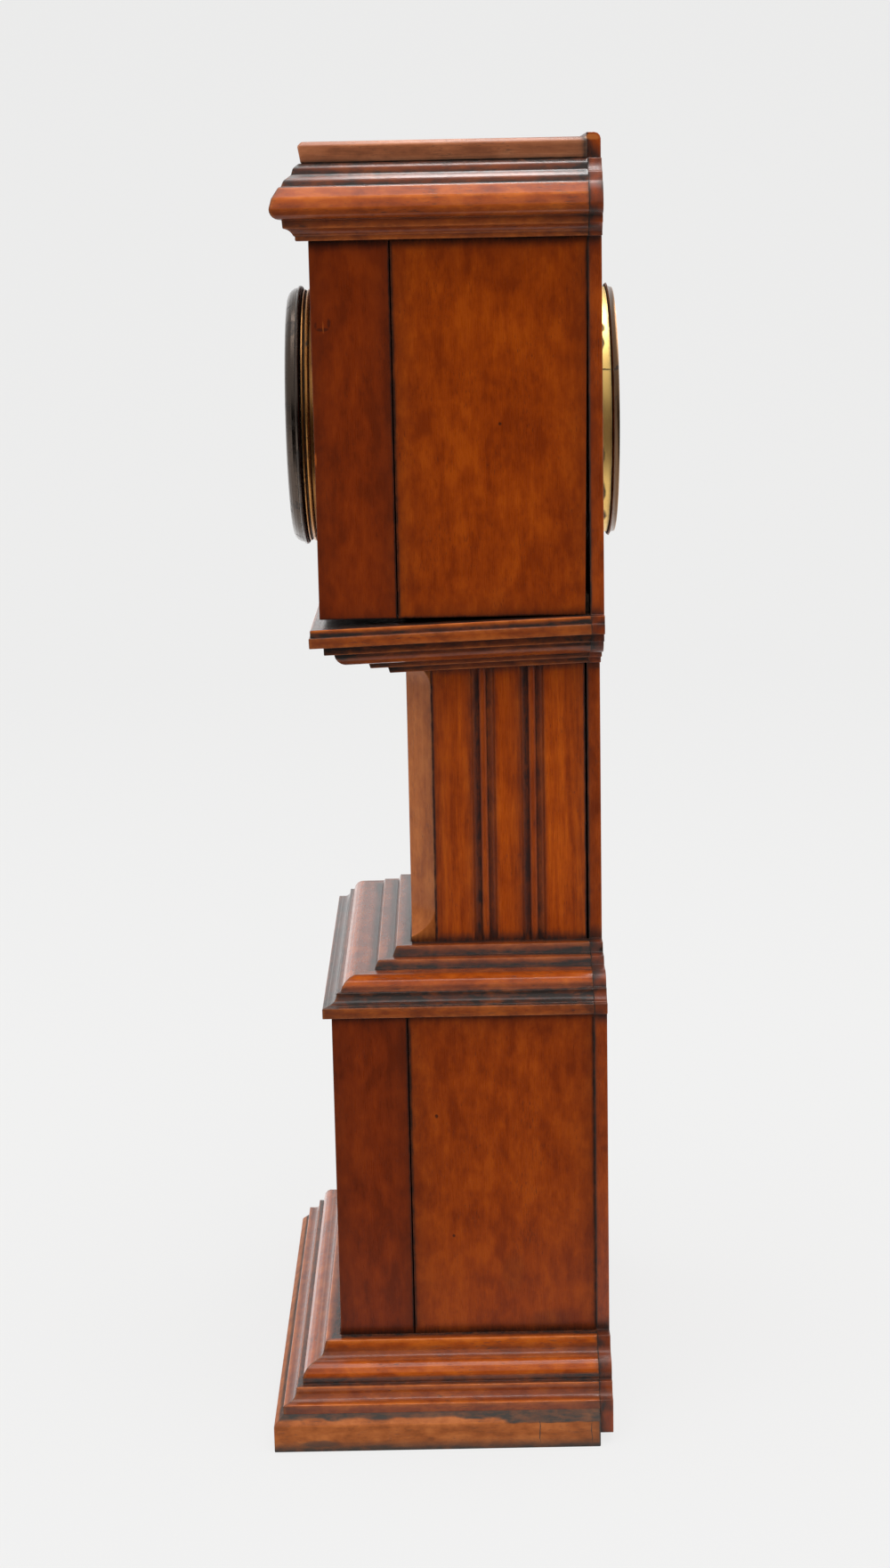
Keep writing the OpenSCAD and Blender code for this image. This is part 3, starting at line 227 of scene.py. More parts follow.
class Effects:
    """The shader groups that several finishes share, each built once."""

    def __init__(self) -> None:
        """Builds every group."""
        self.grain = self._grain()
        self.handling = self._handling_and_shade()
        self.tarnish = self._tarnish()
        self.blemishes = self._blemishes()

    @staticmethod
    def _group(name: str, inputs: dict[str, float], outputs: tuple[str, ...]) -> tuple[Graph, Node, Node]:
        """Makes an empty group that reads a vector and some numbers.

        Args:
            name: Name of the group.
            inputs: First value for each number that it reads.
            outputs: The numbers that it puts out.

        Returns:
            The graph, its input node and its output node.
        """
        tree = bpy.data.node_groups.new(name, "ShaderNodeTree")
        tree.interface.new_socket("Vector", in_out="INPUT", socket_type="NodeSocketVector")
        for label, value in inputs.items():
            socket = tree.interface.new_socket(label, in_out="INPUT", socket_type="NodeSocketFloat")
            socket.default_value = value
        for label in outputs:
            tree.interface.new_socket(label, in_out="OUTPUT", socket_type="NodeSocketFloat")
        graph = Graph(tree)
        return graph, graph.node("NodeGroupInput"), graph.node("NodeGroupOutput")

    def _grain(self) -> Tree:
        """Builds the wood's figure, fibre and pores along the vector's third axis, in millimetres."""
        reads = {"Figure Size": 26.0, "Flecks": 0.3, "Streaks": 0.3}
        graph, start, end = self._group("grain", reads, ("Figure", "Fibre", "Pore", "Height"))
        at = start.outputs["Vector"]
        size = graph.maths("DIVIDE", 1.0, start.outputs["Figure Size"])
        broad = graph.node("ShaderNodeTexNoise")
        graph.feed(broad, Vector=graph.vector("MULTIPLY", at, (1.0, 1.0, 0.8)).outputs[0], Scale=size)
        graph.feed(broad, Detail=5.0, Roughness=0.62, Distortion=0.4)
        mottle = graph.cloud(at, (0.22, 0.22, 0.10), 4.0, 0.6)
        bands = graph.cloud(at, (0.34, 0.34, 0.018), 4.0, 0.6, 0.5)
        soft = graph.plus(graph.times(broad.outputs["Fac"], 0.5), graph.times(mottle, 0.5))
        lines = graph.times(graph.minus(bands, soft), start.outputs["Streaks"])
        figure = graph.plus(soft, lines)
        fibre = graph.cloud(at, (3.4, 3.4, 0.16))
        specks = graph.cloud(at, (2.6, 2.6, 0.42), 2.0, 0.5)
        thicket = graph.cloud(at, (0.09, 0.09, 0.06))
        crowd = graph.times(graph.minus(thicket, 0.5), 0.40)
        fine = graph.minus(graph.plus(specks, crowd), 0.64)
        dashes = graph.cloud(at, (1.5, 1.5, 0.17), 2.0, 0.5)
        level = graph.minus(0.76, graph.times(start.outputs["Flecks"], 0.16))
        coarse = graph.minus(graph.plus(dashes, crowd), level)
        pore = graph.most(graph.times(fine, 7.0, clamp=True), graph.times(coarse, 9.0, clamp=True))
        height = graph.minus(graph.times(fibre, 0.35), pore)
        graph.feed(end, Figure=graph.between(figure, 0.34, 0.66), Fibre=fibre, Pore=pore, Height=height)
        return graph.tree

    def _handling_and_shade(self) -> Tree:
        """Builds the worn arrises, and the grime with painted shade that darkens recesses by how closed in
        they are.
        """
        reads = {"Arris": 1.0 * MM, "Recess": 6.0 * MM, "Soil": 0.0, "Crest": 0.0}
        graph, start, end = self._group("handling", reads, ("Wear", "Grime"))
        at = start.outputs["Vector"]
        patchy = graph.cloud(at, (0.12, 0.12, 0.12), 4.0, 0.65)
        ragged = graph.cloud(at, (0.9, 0.9, 0.25))
        outer = graph.node("ShaderNodeAmbientOcclusion", samples=5, only_local=True, inside=True)
        graph.feed(outer, Distance=start.outputs["Arris"])
        inner = graph.node("ShaderNodeAmbientOcclusion", samples=8)
        graph.feed(inner, Distance=start.outputs["Recess"])
        worn = graph.most(graph.between(outer.outputs["AO"], 0.84, 0.50), start.outputs["Crest"])
        rubs = graph.between(patchy, 0.32, 0.60, 0.35, 1.0)
        broken = graph.times(rubs, graph.between(ragged, 0.30, 0.60, 0.6, 1.0))
        # Painted shade: occlusion darkens the recesses, together with their grime.
        closed = graph.between(inner.outputs["AO"], 0.97, 0.55)
        lodged_and_shaded = graph.most(closed, start.outputs["Soil"])
        dust = graph.between(patchy, 0.28, 0.68, 1.08, 0.84)
        spread = graph.times(dust, graph.between(ragged, 0.3, 0.7, 1.10, 0.88))
        graph.feed(end, Wear=graph.times(worn, broken), Grime=graph.times(lodged_and_shaded, spread, clamp=True))
        return graph.tree

    def _tarnish(self) -> Tree:
        """Builds the stains and fine scratches of old metal, in millimetres."""
        graph, start, end = self._group("tarnish", {"Amount": 0.3}, ("Stain", "Rub", "Height"))
        at = start.outputs["Vector"]
        clouds = graph.cloud(at, (0.16, 0.16, 0.16), 5.0, 0.68, 0.5)
        spots = graph.cloud(at, (1.1, 1.1, 1.1), 2.0, 0.5)
        rub = graph.cloud(at, (0.5, 6.0, 0.5), 2.0, 0.6)
        edge = graph.minus(0.74, graph.times(start.outputs["Amount"], 0.30))
        stain = graph.times(graph.minus(clouds, edge), 7.0, clamp=True)
        fleck = graph.times(graph.minus(spots, 0.70), 9.0, clamp=True)
        scratched = graph.minus(graph.times(rub, 0.3), stain)
        graph.feed(end, Stain=graph.most(stain, graph.times(fleck, 0.7)), Rub=rub, Height=scratched)
        return graph.tree

    def _blemishes(self) -> Tree:
        """Builds the single scars and spots of the right-hand side, in the case's own millimetres."""
        graph, start, end = self._group("blemishes", {}, ("Dark", "Pale"))
        at = start.outputs["Vector"]
        ragged = 1.6
        bent = graph.strayed(at, 0.25, ragged)
        found = {False: 0.0, True: 0.0}
        for mark in MARKS:
            middle = tuple(p + ragged / 2 for p in mark.place)
            gap = graph.vector("SUBTRACT", bent, middle).outputs[0]
            across = graph.vector("MULTIPLY", gap, tuple(1.0 / s for s in mark.size)).outputs[0]
            reach = graph.vector("LENGTH", across).outputs["Value"]
            spot = graph.between(reach, 1.15, 0.55, 0.0, mark.strength)
            found[mark.pale] = graph.most(found[mark.pale], spot)
        graph.feed(end, Dark=found[False], Pale=found[True])
        return graph.tree


@dataclass(frozen=True)
class Mark:
    """One scar: its middle and half sizes in millimetres, and whether bare wood shows in it."""

    place: Triple
    size: Triple
    strength: float
    pale: bool = False


MARKS = (
    Mark((80.0, -31.9, 415.1), (3.0, 0.25, 2.2), 0.55, pale=True),
    Mark((80.0, 29.8, 380.3), (3.0, 0.7, 0.7), 0.85),
    Mark((80.0, -35.9, 368.8), (3.0, 0.6, 2.6), 0.75, pale=True),
    Mark((80.0, 1.8, 123.0), (3.0, 0.8, 0.9), 0.8),
    Mark((80.0, 7.9, 75.3), (3.0, 0.7, 0.6), 0.8),
    Mark((80.0, 44.0, 40.0), (3.0, 9.0, 5.0), 0.30),
    Mark((80.0, 30.0, 60.0), (3.0, 5.0, 9.0), 0.22),
    Mark((80.0, -32.2, 414.4), (3.0, 2.6, 0.7), 0.62),
    Mark((80.0, -29.8, 416.4), (3.0, 0.7, 1.7), 0.55),
    Mark((80.0, -34.6, 415.8), (3.0, 0.6, 1.2), 0.45),
    Mark((84.0, 63.2, 478.4), (30.0, 3.0, 1.2), 0.70, pale=True),
    Mark((92.0, -49.4, 457.6), (4.0, 1.2, 1.3), 0.75, pale=True),
    Mark((46.0, 70.0, 396.5), (10.0, 9.0, 0.40), 0.95),
    Mark((46.0, 74.2, 397.0), (10.0, 1.3, 0.90), 0.95),
    Mark((30.0, 68.3, 417.0), (9.0, 1.5, 2.2), 0.85),
    Mark((35.0, 68.6, 411.5), (9.0, 1.5, 1.6), 0.80),
    Mark((39.0, 68.4, 406.0), (9.0, 1.2, 2.8), 0.85),
    Mark((42.0, 68.2, 366.0), (9.0, 1.2, 4.4), 0.80),
    Mark((34.0, 68.4, 352.0), (9.0, 1.6, 4.8), 0.90),
    Mark((24.0, 68.7, 342.0), (9.0, 2.0, 3.4), 0.90),
    Mark((105.0, 38.4, 7.0), (3.0, 0.22, 6.0), 0.95),
    Mark((105.0, 57.9, 6.0), (3.0, 0.20, 5.0), 0.85),
    Mark((105.0, -44.0, 3.0), (3.0, 8.0, 1.6), 0.65),
    Mark((105.0, -22.0, 1.5), (3.0, 5.0, 1.2), 0.55),
    Mark((105.0, 12.0, 0.0), (3.0, 7.0, 1.3), 0.60),
    Mark((105.0, 48.0, 0.3), (3.0, 6.0, 1.5), 0.60),
)


def new_material(name: str) -> tuple[Material, Graph, Node]:
    """Makes a material with a Principled shader; gives it with its graph and its shader node."""
    material = bpy.data.materials.new(name)
    material.use_nodes = True
    graph = Graph(material.node_tree)
    shader = graph.node("ShaderNodeBsdfPrincipled")
    output = graph.node("ShaderNodeOutputMaterial")
    graph.put(output.inputs["Surface"], shader.outputs["BSDF"])
    return material, graph, shader


def millimetres(graph: Graph, turn: Triple = (0.0, 0.0, 0.0)) -> Socket:
    """Gives the object's own coordinates in millimetres, turned as asked."""
    place = graph.node("ShaderNodeTexCoord").outputs["Object"]
    mapping = graph.node("ShaderNodeMapping")
    return graph.feed(mapping, Vector=place, Rotation=turn, Scale=(1 / MM, 1 / MM, 1 / MM)).outputs[0]


@dataclass(frozen=True)
class WoodFinish:
    """French-polished wood, with its colours from the deepest to the worn edges."""

    name: str
    deep: Colour
    middle: Colour
    light: Colour
    worn: Colour
    # The grime colour also paints the shade of recesses and joints.
    grime: Colour
    figure_size: float = 26.0
    flecks: float = 0.25
    pore_depth: float = 0.55
    gloss: float = 0.27
    coat: float = 0.12
    specular: float = 0.30
    arris: float = 0.0009
    wear: float = 0.55
    streaks: float = 0.14
    fibres: float = 0.06
    dulled: float = 0.16
    relief: float = 0.00006
    TURNS = {
        Grain.ALONG_X: (0.0, -math.pi / 2, 0.0),
        Grain.ALONG_Y: (math.pi / 2, 0.0, 0.0),
        Grain.ALONG_Z: (0.0, 0.0, 0.0),
    }

    def material(self, effects: Effects, grain: Grain) -> Material:
        """Builds the finish for one direction of the grain.

        Args:
            effects: The shared shader groups.
            grain: Direction of the fibres.

        Returns:
            The material.
        """
        material, graph, shader = new_material(f"{self.name}_{grain.value}")
        at = millimetres(graph, self.TURNS[grain])
        wood = graph.group(effects.grain, Vector=at, Flecks=self.flecks, Streaks=self.streaks)
        graph.feed(wood, Figure_Size=self.figure_size)
        soil = graph.node("ShaderNodeAttribute", attribute_name="soil").outputs["Fac"]
        crest = graph.node("ShaderNodeAttribute", attribute_name="crest").outputs["Fac"]
        touch = graph.group(effects.handling, Vector=at, Arris=self.arris, Soil=soil, Crest=crest)
        figure = wood.outputs["Figure"]
        low = graph.blend(graph.between(figure, 0.0, 0.55), self.deep, self.middle)
        colour = graph.blend(graph.between(figure, 0.45, 1.0), low, self.light)
        fibre = graph.between(wood.outputs["Fibre"], 0.25, 0.75, 1.0 - self.fibres, 1.0 + 0.9 * self.fibres)
        shade = graph.node("ShaderNodeCombineColor")
        for channel in shade.inputs:
            graph.put(channel, fibre)
        colour = graph.blend(1.0, colour, shade.outputs[0], "MULTIPLY")
        colour = graph.blend(graph.times(wood.outputs["Pore"], self.pore_depth), colour, self.grime)
        colour = graph.blend(graph.times(touch.outputs["Wear"], self.wear), colour, self.worn)
        # Painted shade: recesses and joints darken to the grime colour, together with their real grime.
        colour = graph.blend(touch.outputs["Grime"], colour, self.grime)
        scars = graph.group(effects.blemishes, Vector=millimetres(graph))
        colour = graph.blend(scars.outputs["Dark"], colour, self.grime)
        colour = graph.blend(scars.outputs["Pale"], colour, self.worn)
        polish = graph.between(wood.outputs["Fibre"], 0.2, 0.8, self.gloss - 0.04, self.gloss + 0.07)
        rough = graph.plus(polish, graph.times(touch.outputs["Grime"], self.dulled))
        coat = graph.between(touch.outputs["Grime"], 0.0, 0.9, self.coat, 0.35 * self.coat)
        normal = graph.bump(wood.outputs["Height"], 0.6, self.relief)
        graph.feed(shader, Base_Color=colour, Roughness=rough, Coat_Weight=coat, Normal=normal)
        graph.feed(shader, Specular_IOR_Level=self.specular, Coat_Roughness=0.11)
        return material


@dataclass(frozen=True)
class MetalFinish:
    """Old metal with stains in its recesses and rubbed edges."""

    name: str
    clean: Colour
    stained: Colour
    rubbed: Colour
    stains: float = 0.3
    rough: float = 0.25
    metal: float = 1.0
    recess: float = 0.0022
    arris: float = 0.0006
    relief: float = 0.00003
    marked: bool = False

    def material(self, effects: Effects) -> Material:
        """Builds the finish.

        Args:
            effects: The shared shader groups.

        Returns:
            The material.
        """
        material, graph, shader = new_material(self.name)
        at = millimetres(graph)
        old = graph.group(effects.tarnish, Vector=at, Amount=self.stains)
        touch = graph.group(effects.handling, Vector=at, Arris=self.arris, Recess=self.recess)
        dark = graph.most(graph.times(old.outputs["Stain"], 0.85), touch.outputs["Grime"])
        if self.marked:
            dark = graph.most(dark, graph.group(effects.blemishes, Vector=at).outputs["Dark"])
        colour = graph.blend(dark, self.clean, self.stained)
        colour = graph.blend(touch.outputs["Wear"], colour, self.rubbed)
        rough = graph.between(old.outputs["Rub"], 0.2, 0.8, self.rough - 0.05, self.rough + 0.08)
        rough = graph.plus(rough, graph.times(dark, 0.30))
        metal = graph.between(dark, 0.0, 1.0, self.metal, 0.45 * self.metal)
        normal = graph.bump(old.outputs["Height"], 0.5, self.relief)
        graph.feed(shader, Base_Color=colour, Roughness=rough, Metallic=metal, Normal=normal)
        return material


@dataclass(frozen=True)
class EnamelFinish:
    """Fired enamel, a little yellowed, with hairline crazing."""

    name: str
    white: Colour = (0.80, 0.78, 0.71)
    aged: Colour = (0.62, 0.55, 0.40)
    line: Colour = (0.30, 0.25, 0.18)

    def material(self, effects: Effects) -> Material:
        """Builds the finish.

        Args:
            effects: The shared shader groups.

        Returns:
            The material.
        """
        material, graph, shader = new_material(self.name)
        at = millimetres(graph)
        touch = graph.group(effects.handling, Vector=at, Recess=1.8 * MM)
        cracks = graph.node("ShaderNodeTexVoronoi", feature="DISTANCE_TO_EDGE")
        graph.feed(cracks, Vector=graph.strayed(at, 0.15, 9.0), Scale=0.045)
        hairline = graph.between(cracks.outputs["Distance"], 0.004, 0.0, 0.0, 0.55)
        patch = graph.cloud(at, (0.05, 0.05, 0.05), 4.0, 0.6)
        sparse = graph.times(hairline, graph.between(patch, 0.52, 0.62))
        colour = graph.blend(graph.between(patch, 0.45, 0.75, 0.0, 0.5), self.white, self.aged)
        colour = graph.blend(sparse, colour, self.line)
        colour = graph.blend(graph.times(touch.outputs["Grime"], 0.6), colour, self.aged)
        rough = graph.between(patch, 0.3, 0.7, 0.12, 0.20)
        graph.feed(shader, Base_Color=colour, Roughness=rough, Coat_Weight=0.3, Coat_Roughness=0.05)
        return material


@dataclass(frozen=True)
class PaintFinish:
    """Black vitreous paint of the dial's figures, thinner here and there."""

    name: str
    dense: Colour = (0.012, 0.012, 0.014)
    thin: Colour = (0.05, 0.045, 0.04)

    def material(self, effects: Effects) -> Material:
        """Builds the finish; it needs none of the shared groups."""
        del effects
        material, graph, shader = new_material(self.name)
        patch = graph.cloud(millimetres(graph), (0.7, 0.7, 0.7))
        ink = graph.blend(graph.between(patch, 0.5, 0.8), self.dense, self.thin)
        graph.feed(shader, Base_Color=ink, Roughness=graph.between(patch, 0.3, 0.7, 0.18, 0.34))
        return material


@dataclass(frozen=True)
class GlassFinish:
    """Clear glass that lets light through to the dial, with a few faint smears."""

    name: str
    tint: Colour = (0.97, 0.99, 0.98)

    def material(self, effects: Effects) -> Material:
        """Builds the finish; it needs none of the shared groups."""
        del effects
        material, graph, shader = new_material(self.name)
        smear = graph.cloud(millimetres(graph), (0.03, 0.2, 0.09))
        rough = graph.between(smear, 0.5, 0.8, 0.02, 0.08)
        graph.feed(shader, Metallic=1.0, Base_Color=self.tint, Roughness=rough)
        clear = graph.feed(graph.node("ShaderNodeBsdfTransparent"), Color=self.tint)
        path = graph.node("ShaderNodeLightPath")
        sheen = graph.feed(graph.node("ShaderNodeFresnel"), IOR=1.45)
        passing = graph.most(path.outputs["Is Shadow Ray"], path.outputs["Is Diffuse Ray"])
        passing = graph.most(passing, graph.minus(1.0, sheen.outputs[0]))
        output = next(n for n in graph.tree.nodes if n.type == "OUTPUT_MATERIAL")
        graph.feed(output, Surface=graph.either(passing, shader.outputs["BSDF"], clear.outputs["BSDF"]))
        return material


class Palette:
    """Every finish of the clock, made into materials when first asked for."""

    panel = WoodFinish(
        "walnut_panel",
        deep=(0.172, 0.0220, 0.0010), middle=(0.242, 0.0345, 0.0012), light=(0.312, 0.0510, 0.0018),
        worn=(0.46, 0.11, 0.014), grime=(0.026, 0.008, 0.0040), figure_size=17.0, coat=0.05, specular=0.11,
    )
    block = WoodFinish(
        "walnut_block",
        deep=(0.118, 0.0150, 0.0016), middle=(0.168, 0.0215, 0.0018), light=(0.215, 0.0300, 0.0022),
        worn=(0.33, 0.075, 0.012), grime=(0.020, 0.007, 0.0045), flecks=0.05, pore_depth=0.35, coat=0.05,
        specular=0.10,
    )
    waist = WoodFinish(
        "walnut_waist",
        deep=(0.245, 0.0330, 0.0010), middle=(0.365, 0.0560, 0.0012), light=(0.480, 0.0850, 0.0020),
        worn=(0.55, 0.16, 0.030), grime=(0.036, 0.016, 0.0130), figure_size=15.0, coat=0.05, specular=0.12,
        streaks=0.55, fibres=0.15,
    )
    # Paler and greyer than the waist's walnut, to paint the sheen of the waist's chamfers.
    sheened_post = WoodFinish(
        "walnut_post",
        deep=(0.310, 0.0740, 0.0110), middle=(0.420, 0.1130, 0.0190), light=(0.520, 0.1550, 0.0300),
        worn=(0.55, 0.22, 0.070), grime=(0.046, 0.011, 0.005), figure_size=12.0, coat=0.06, specular=0.16,
        streaks=0.25, fibres=0.07,
    )
    edging = WoodFinish(
        "walnut_edging",
        deep=(0.150, 0.0210, 0.0020), middle=(0.220, 0.0330, 0.0024), light=(0.290, 0.0480, 0.0032),
        worn=(0.45, 0.14, 0.030), grime=(0.022, 0.0150, 0.0125), figure_size=14.0, specular=0.20,
    )
    moulded = WoodFinish(
        "walnut_moulded",
        deep=(0.215, 0.0330, 0.0026), middle=(0.325, 0.0560, 0.0034), light=(0.430, 0.0880, 0.0050),
        worn=(0.60, 0.165, 0.028), grime=(0.026, 0.0190, 0.0165), figure_size=12.0, flecks=0.60,
        pore_depth=0.70, gloss=0.18, coat=0.18, specular=0.18, wear=0.66, streaks=0.10, fibres=0.05,
        dulled=0.03, relief=0.00004,
    )
    # Its worn colour is pale, to paint the highlight along the top board's upper arris as well as its wear.
    dull = WoodFinish(
        "walnut_dull",
        deep=(0.205, 0.060, 0.021), middle=(0.315, 0.098, 0.035), light=(0.430, 0.150, 0.060),
        worn=(0.66, 0.40, 0.27), grime=(0.040, 0.025, 0.017), flecks=0.5, pore_depth=0.6, gloss=0.44,
        coat=0.06, wear=0.75, figure_size=16.0, streaks=0.45, fibres=0.12,
    )
    foot = WoodFinish(
        "walnut_foot",
        deep=(0.210, 0.052, 0.010), middle=(0.335, 0.090, 0.018), light=(0.450, 0.135, 0.032),
        worn=(0.55, 0.24, 0.09), grime=(0.040, 0.034, 0.029), flecks=0.5, pore_depth=0.6, gloss=0.50,
        coat=0.0, wear=0.6, figure_size=9.0, specular=0.20, streaks=0.20, fibres=0.08,
    )
    raw = WoodFinish(
        "walnut_raw",
        deep=(0.20, 0.10, 0.045), middle=(0.28, 0.15, 0.075), light=(0.36, 0.20, 0.105),
        worn=(0.42, 0.27, 0.16), grime=(0.05, 0.035, 0.025), flecks=0.6, gloss=0.62, coat=0.0,
        streaks=0.4, fibres=0.12,
    )
    gilt = MetalFinish(
        "gilt_brass", (0.80, 0.54, 0.17), (0.040, 0.022, 0.009), (0.95, 0.74, 0.34),
        stains=0.42, rough=0.36, metal=0.85, recess=0.0030, marked=True,
    )
    seat = MetalFinish(
        "aged_brass", (0.34, 0.150, 0.040), (0.022, 0.015, 0.009), (0.60, 0.30, 0.10),
        stains=0.58, rough=0.26, metal=0.90, recess=0.0010,
    )
    bronze = MetalFinish(
        "bronzed_brass", (0.060, 0.045, 0.036), (0.010, 0.008, 0.007), (0.26, 0.19, 0.14),
        stains=0.66, rough=0.22,
    )
    browned = MetalFinish(
        "browned_brass", (0.120, 0.066, 0.034), (0.016, 0.011, 0.008), (0.42, 0.24, 0.12),
        stains=0.50, rough=0.30, marked=True,
    )
    wheel = MetalFinish(
        "wheel_brass", (0.78, 0.58, 0.24), (0.10, 0.06, 0.02), (0.92, 0.76, 0.42),
        stains=0.15, rough=0.26,
    )
    steel = MetalFinish(
        "bright_steel", (0.50, 0.50, 0.51), (0.07, 0.05, 0.035), (0.75, 0.75, 0.76),
        stains=0.22, rough=0.24,
    )
    blued = MetalFinish(
        "blued_steel", (0.020, 0.030, 0.105), (0.010, 0.010, 0.016), (0.10, 0.14, 0.30),
        stains=0.10, rough=0.20,
    )
    enamel = EnamelFinish("dial_enamel")
    paint = PaintFinish("dial_paint")
    clear = GlassFinish("bezel_glass")

    def __init__(self, effects: Effects) -> None:
        """Keeps the shared groups at hand."""
        self.effects = effects
        self._made: dict[tuple[str, str], Material] = {}

    def get(self, finish: object, grain: Grain | None = None) -> Material:
        """Gives a finish's material, the same one each time; wood needs the direction of its grain."""
        key = (finish.name, grain.value if grain else "")
        if key not in self._made:
            choice = (self.effects, grain) if grain else (self.effects,)
            self._made[key] = finish.material(*choice)
        return self._made[key]


def linked(name: str, data: object) -> Object:
    """Puts an object with this data into the scene."""
    made = bpy.data.objects.new(name, data)
    bpy.context.scene.collection.objects.link(made)
    return made


def dress(mesh: Mesh, material: Material, sharp: float) -> None:
    """Gives a mesh its one material, smooth but for the edges that turn more sharply than this."""
    mesh.materials.clear()
    mesh.materials.append(material)
    mesh.shade_smooth()
    mesh.set_sharp_from_angle(angle=sharp)


def welded(mesh: Mesh) -> Shape:
    """Opens a mesh for work, with its doubled vertices joined and its flat faces made whole."""
    shape = bmesh.new()
    shape.from_mesh(mesh)
    bmesh.ops.remove_doubles(shape, verts=shape.verts, dist=WELD)
    bmesh.ops.dissolve_limit(shape, angle_limit=FLAT, verts=shape.verts, edges=shape.edges)
    return shape


def sliced(shape: Shape, place: Vector, normal: Vector, cleared: bool = False) -> None:
    """Cuts every face along a plane; what lies in front of the plane can be cleared away."""
    parts = shape.verts[:] + shape.edges[:] + shape.faces[:]
    bmesh.ops.bisect_plane(
        shape, geom=parts, dist=ON_PLANE, plane_co=place, plane_no=normal, clear_outer=cleared,
    )


def kept(shape: Shape, name: str) -> Mesh:
    """Turns a shape into a mesh and frees it."""
    mesh = bpy.data.meshes.new(name)
    shape.to_mesh(mesh)
    shape.free()
    return mesh


def wound(outline: list[Vector]) -> list[Vector]:
    """Turns a closed outline anticlockwise."""
    area = sum(a.cross(b) for a, b in zip(outline, outline[1:] + outline[:1]))
    return outline[::-1] if area < 0 else outline


def mesh_object(name: str, mesh: Mesh, material: Material, body: str) -> Object:
    """Puts a mesh into the scene as a piece that rides a body.

    Args:
        name: Name of the piece.
        mesh: Its mesh, in the row frame.
        material: Its material.
        body: The body that carries it.

    Returns:
        The new object.
    """
    piece = linked(name, mesh)
    dress(mesh, material, SHARP)
    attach(piece, body)
    LOG.info("piece %s rides %s with %d faces", name, body, len(mesh.polygons))
    return piece


def flat_sections(node: Object, axis: Vector) -> list[Vector]:
    """Reads the corners of a node's largest face that looks along an axis, in order round it."""
    shape = welded(node.data)
    facing = [f for f in shape.faces if f.normal.dot(axis) > 0.999]
    face = max(facing, key=lambda f: f.calc_area())
    corners = [v.co.copy() for v in face.verts]
    shape.free()
    return corners


def eased(outline: list[Vector], convex: float, concave: float, steps: int = 3) -> list[Vector]:
    """Rounds the corners of a closed outline that runs anticlockwise.

    Args:
        outline: Corners in the plane.
        convex: Radius cut from outer corners.
        concave: Radius left in inner corners.
        steps: Stretches in each rounded corner.

    Returns:
        The rounded outline, with the same number of points for the same corners.
    """
    points: list[Vector] = []
    count = len(outline)
    for i, corner in enumerate(outline):
        back = outline[i - 1] - corner
        ahead = outline[(i + 1) % count] - corner
        turn = back.angle(ahead, math.pi)
        if math.pi - turn < STRAIGHT:
            points.append(corner.copy())
            continue
        outer = (-back).cross(ahead) > 0.0
        reach = min(convex if outer else concave, SHARE * back.length, SHARE * ahead.length)
        first = corner + back.normalized() * reach
        last = corner + ahead.normalized() * reach
        for k in range(steps + 1):
            t = k / steps
            points.append(first * (1 - t) ** 2 + corner * 2 * t * (1 - t) + last * t**2)
    return points


def skin(rings: list[list[Vector]], name: str) -> Mesh:
    """Joins rings of equally many points, in order, into a closed solid with flat ends."""
    shape = bmesh.new()
    rows = [[shape.verts.new(p) for p in ring] for ring in rings]
    count = len(rows[0])
    for low, high in zip(rows, rows[1:]):
        for i in range(count):
            j = (i + 1) % count
            shape.faces.new((low[i], low[j], high[j], high[i]))
    for end in (list(reversed(rows[0])), rows[-1]):
        shape.faces.new(end)
    return finished(shape, name)


def finished(shape: Shape, name: str) -> Mesh:
    """Splits a shape's many-sided faces, faces it outwards, turns it into a mesh and frees it."""
    bmesh.ops.scale(shape, vec=(1 / MM, 1 / MM, 1 / MM), verts=shape.verts)
    shape.normal_update()
    bmesh.ops.triangulate(shape, faces=[f for f in shape.faces if len(f.verts) > 4], ngon_method="EAR_CLIP")
    bmesh.ops.recalc_face_normals(shape, faces=shape.faces)
    bmesh.ops.scale(shape, vec=(MM, MM, MM), verts=shape.verts)
    return kept(shape, name)


def crowded(outline: list[Vector], reach: float) -> list[Vector]:
    """Adds points to a closed outline so that no stretch is longer than the reach."""
    points: list[Vector] = []
    for i, corner in enumerate(outline):
        ahead = outline[(i + 1) % len(outline)]
        count = max(1, math.ceil((ahead - corner).length / reach))
        points += [corner.lerp(ahead, k / count) for k in range(count)]
    return points


def ball_radii(outline: list[Vector], others: list[Vector], side: float) -> list[float]:
    """Finds the largest ball that can touch each point of an outline without meeting anything else.

    Args:
        outline: Points of the closed outline, anticlockwise.
        others: Further points that the ball must not reach.
        side: 1 for balls outside the outline, -1 for balls inside it.

    Returns:
        The radius at each point, in the outline's units.
    """
    grazing, same = 0.08, 1e-6
    count = len(outline)
    radii = []
    for i, point in enumerate(outline):
        along = (outline[(i + 1) % count] - outline[i - 1]).normalized()
        normal = Vector((along.y, -along.x)) * side
        least = 1.0
        for other in outline + others:
            gap = other - point
            rise = normal.dot(gap)
            if rise > grazing * gap.length and gap.length > same:
                least = min(least, gap.length_squared / (2 * rise))
        radii.append(least)
    return radii


def ramp(value: float, low: float, high: float) -> float:
    """Gives a smooth step from 0 at the low value to 1 at the high one."""
    t = min(1.0, max(0.0, (value - low) / (high - low)))
    return t * t * (3 - 2 * t)


def evened(values: list[float], passes: int) -> list[float]:
    """Smooths a ring of numbers, each with its two neighbours."""
    for _ in range(passes):
        before, after = values[-1:] + values[:-1], values[1:] + values[:1]
        values = [(a + 2 * b + c) / 4 for a, b, c in zip(before, values, after)]
    return values


def paint_mask(mesh: Mesh, name: str, values: list[float], domain: str = "POINT") -> None:
    """Keeps one number for each vertex, or each face corner, of a mesh, for its material to read."""
    mask = mesh.attributes.new(name, "FLOAT", domain)
    mask.data.foreach_set("value", values)


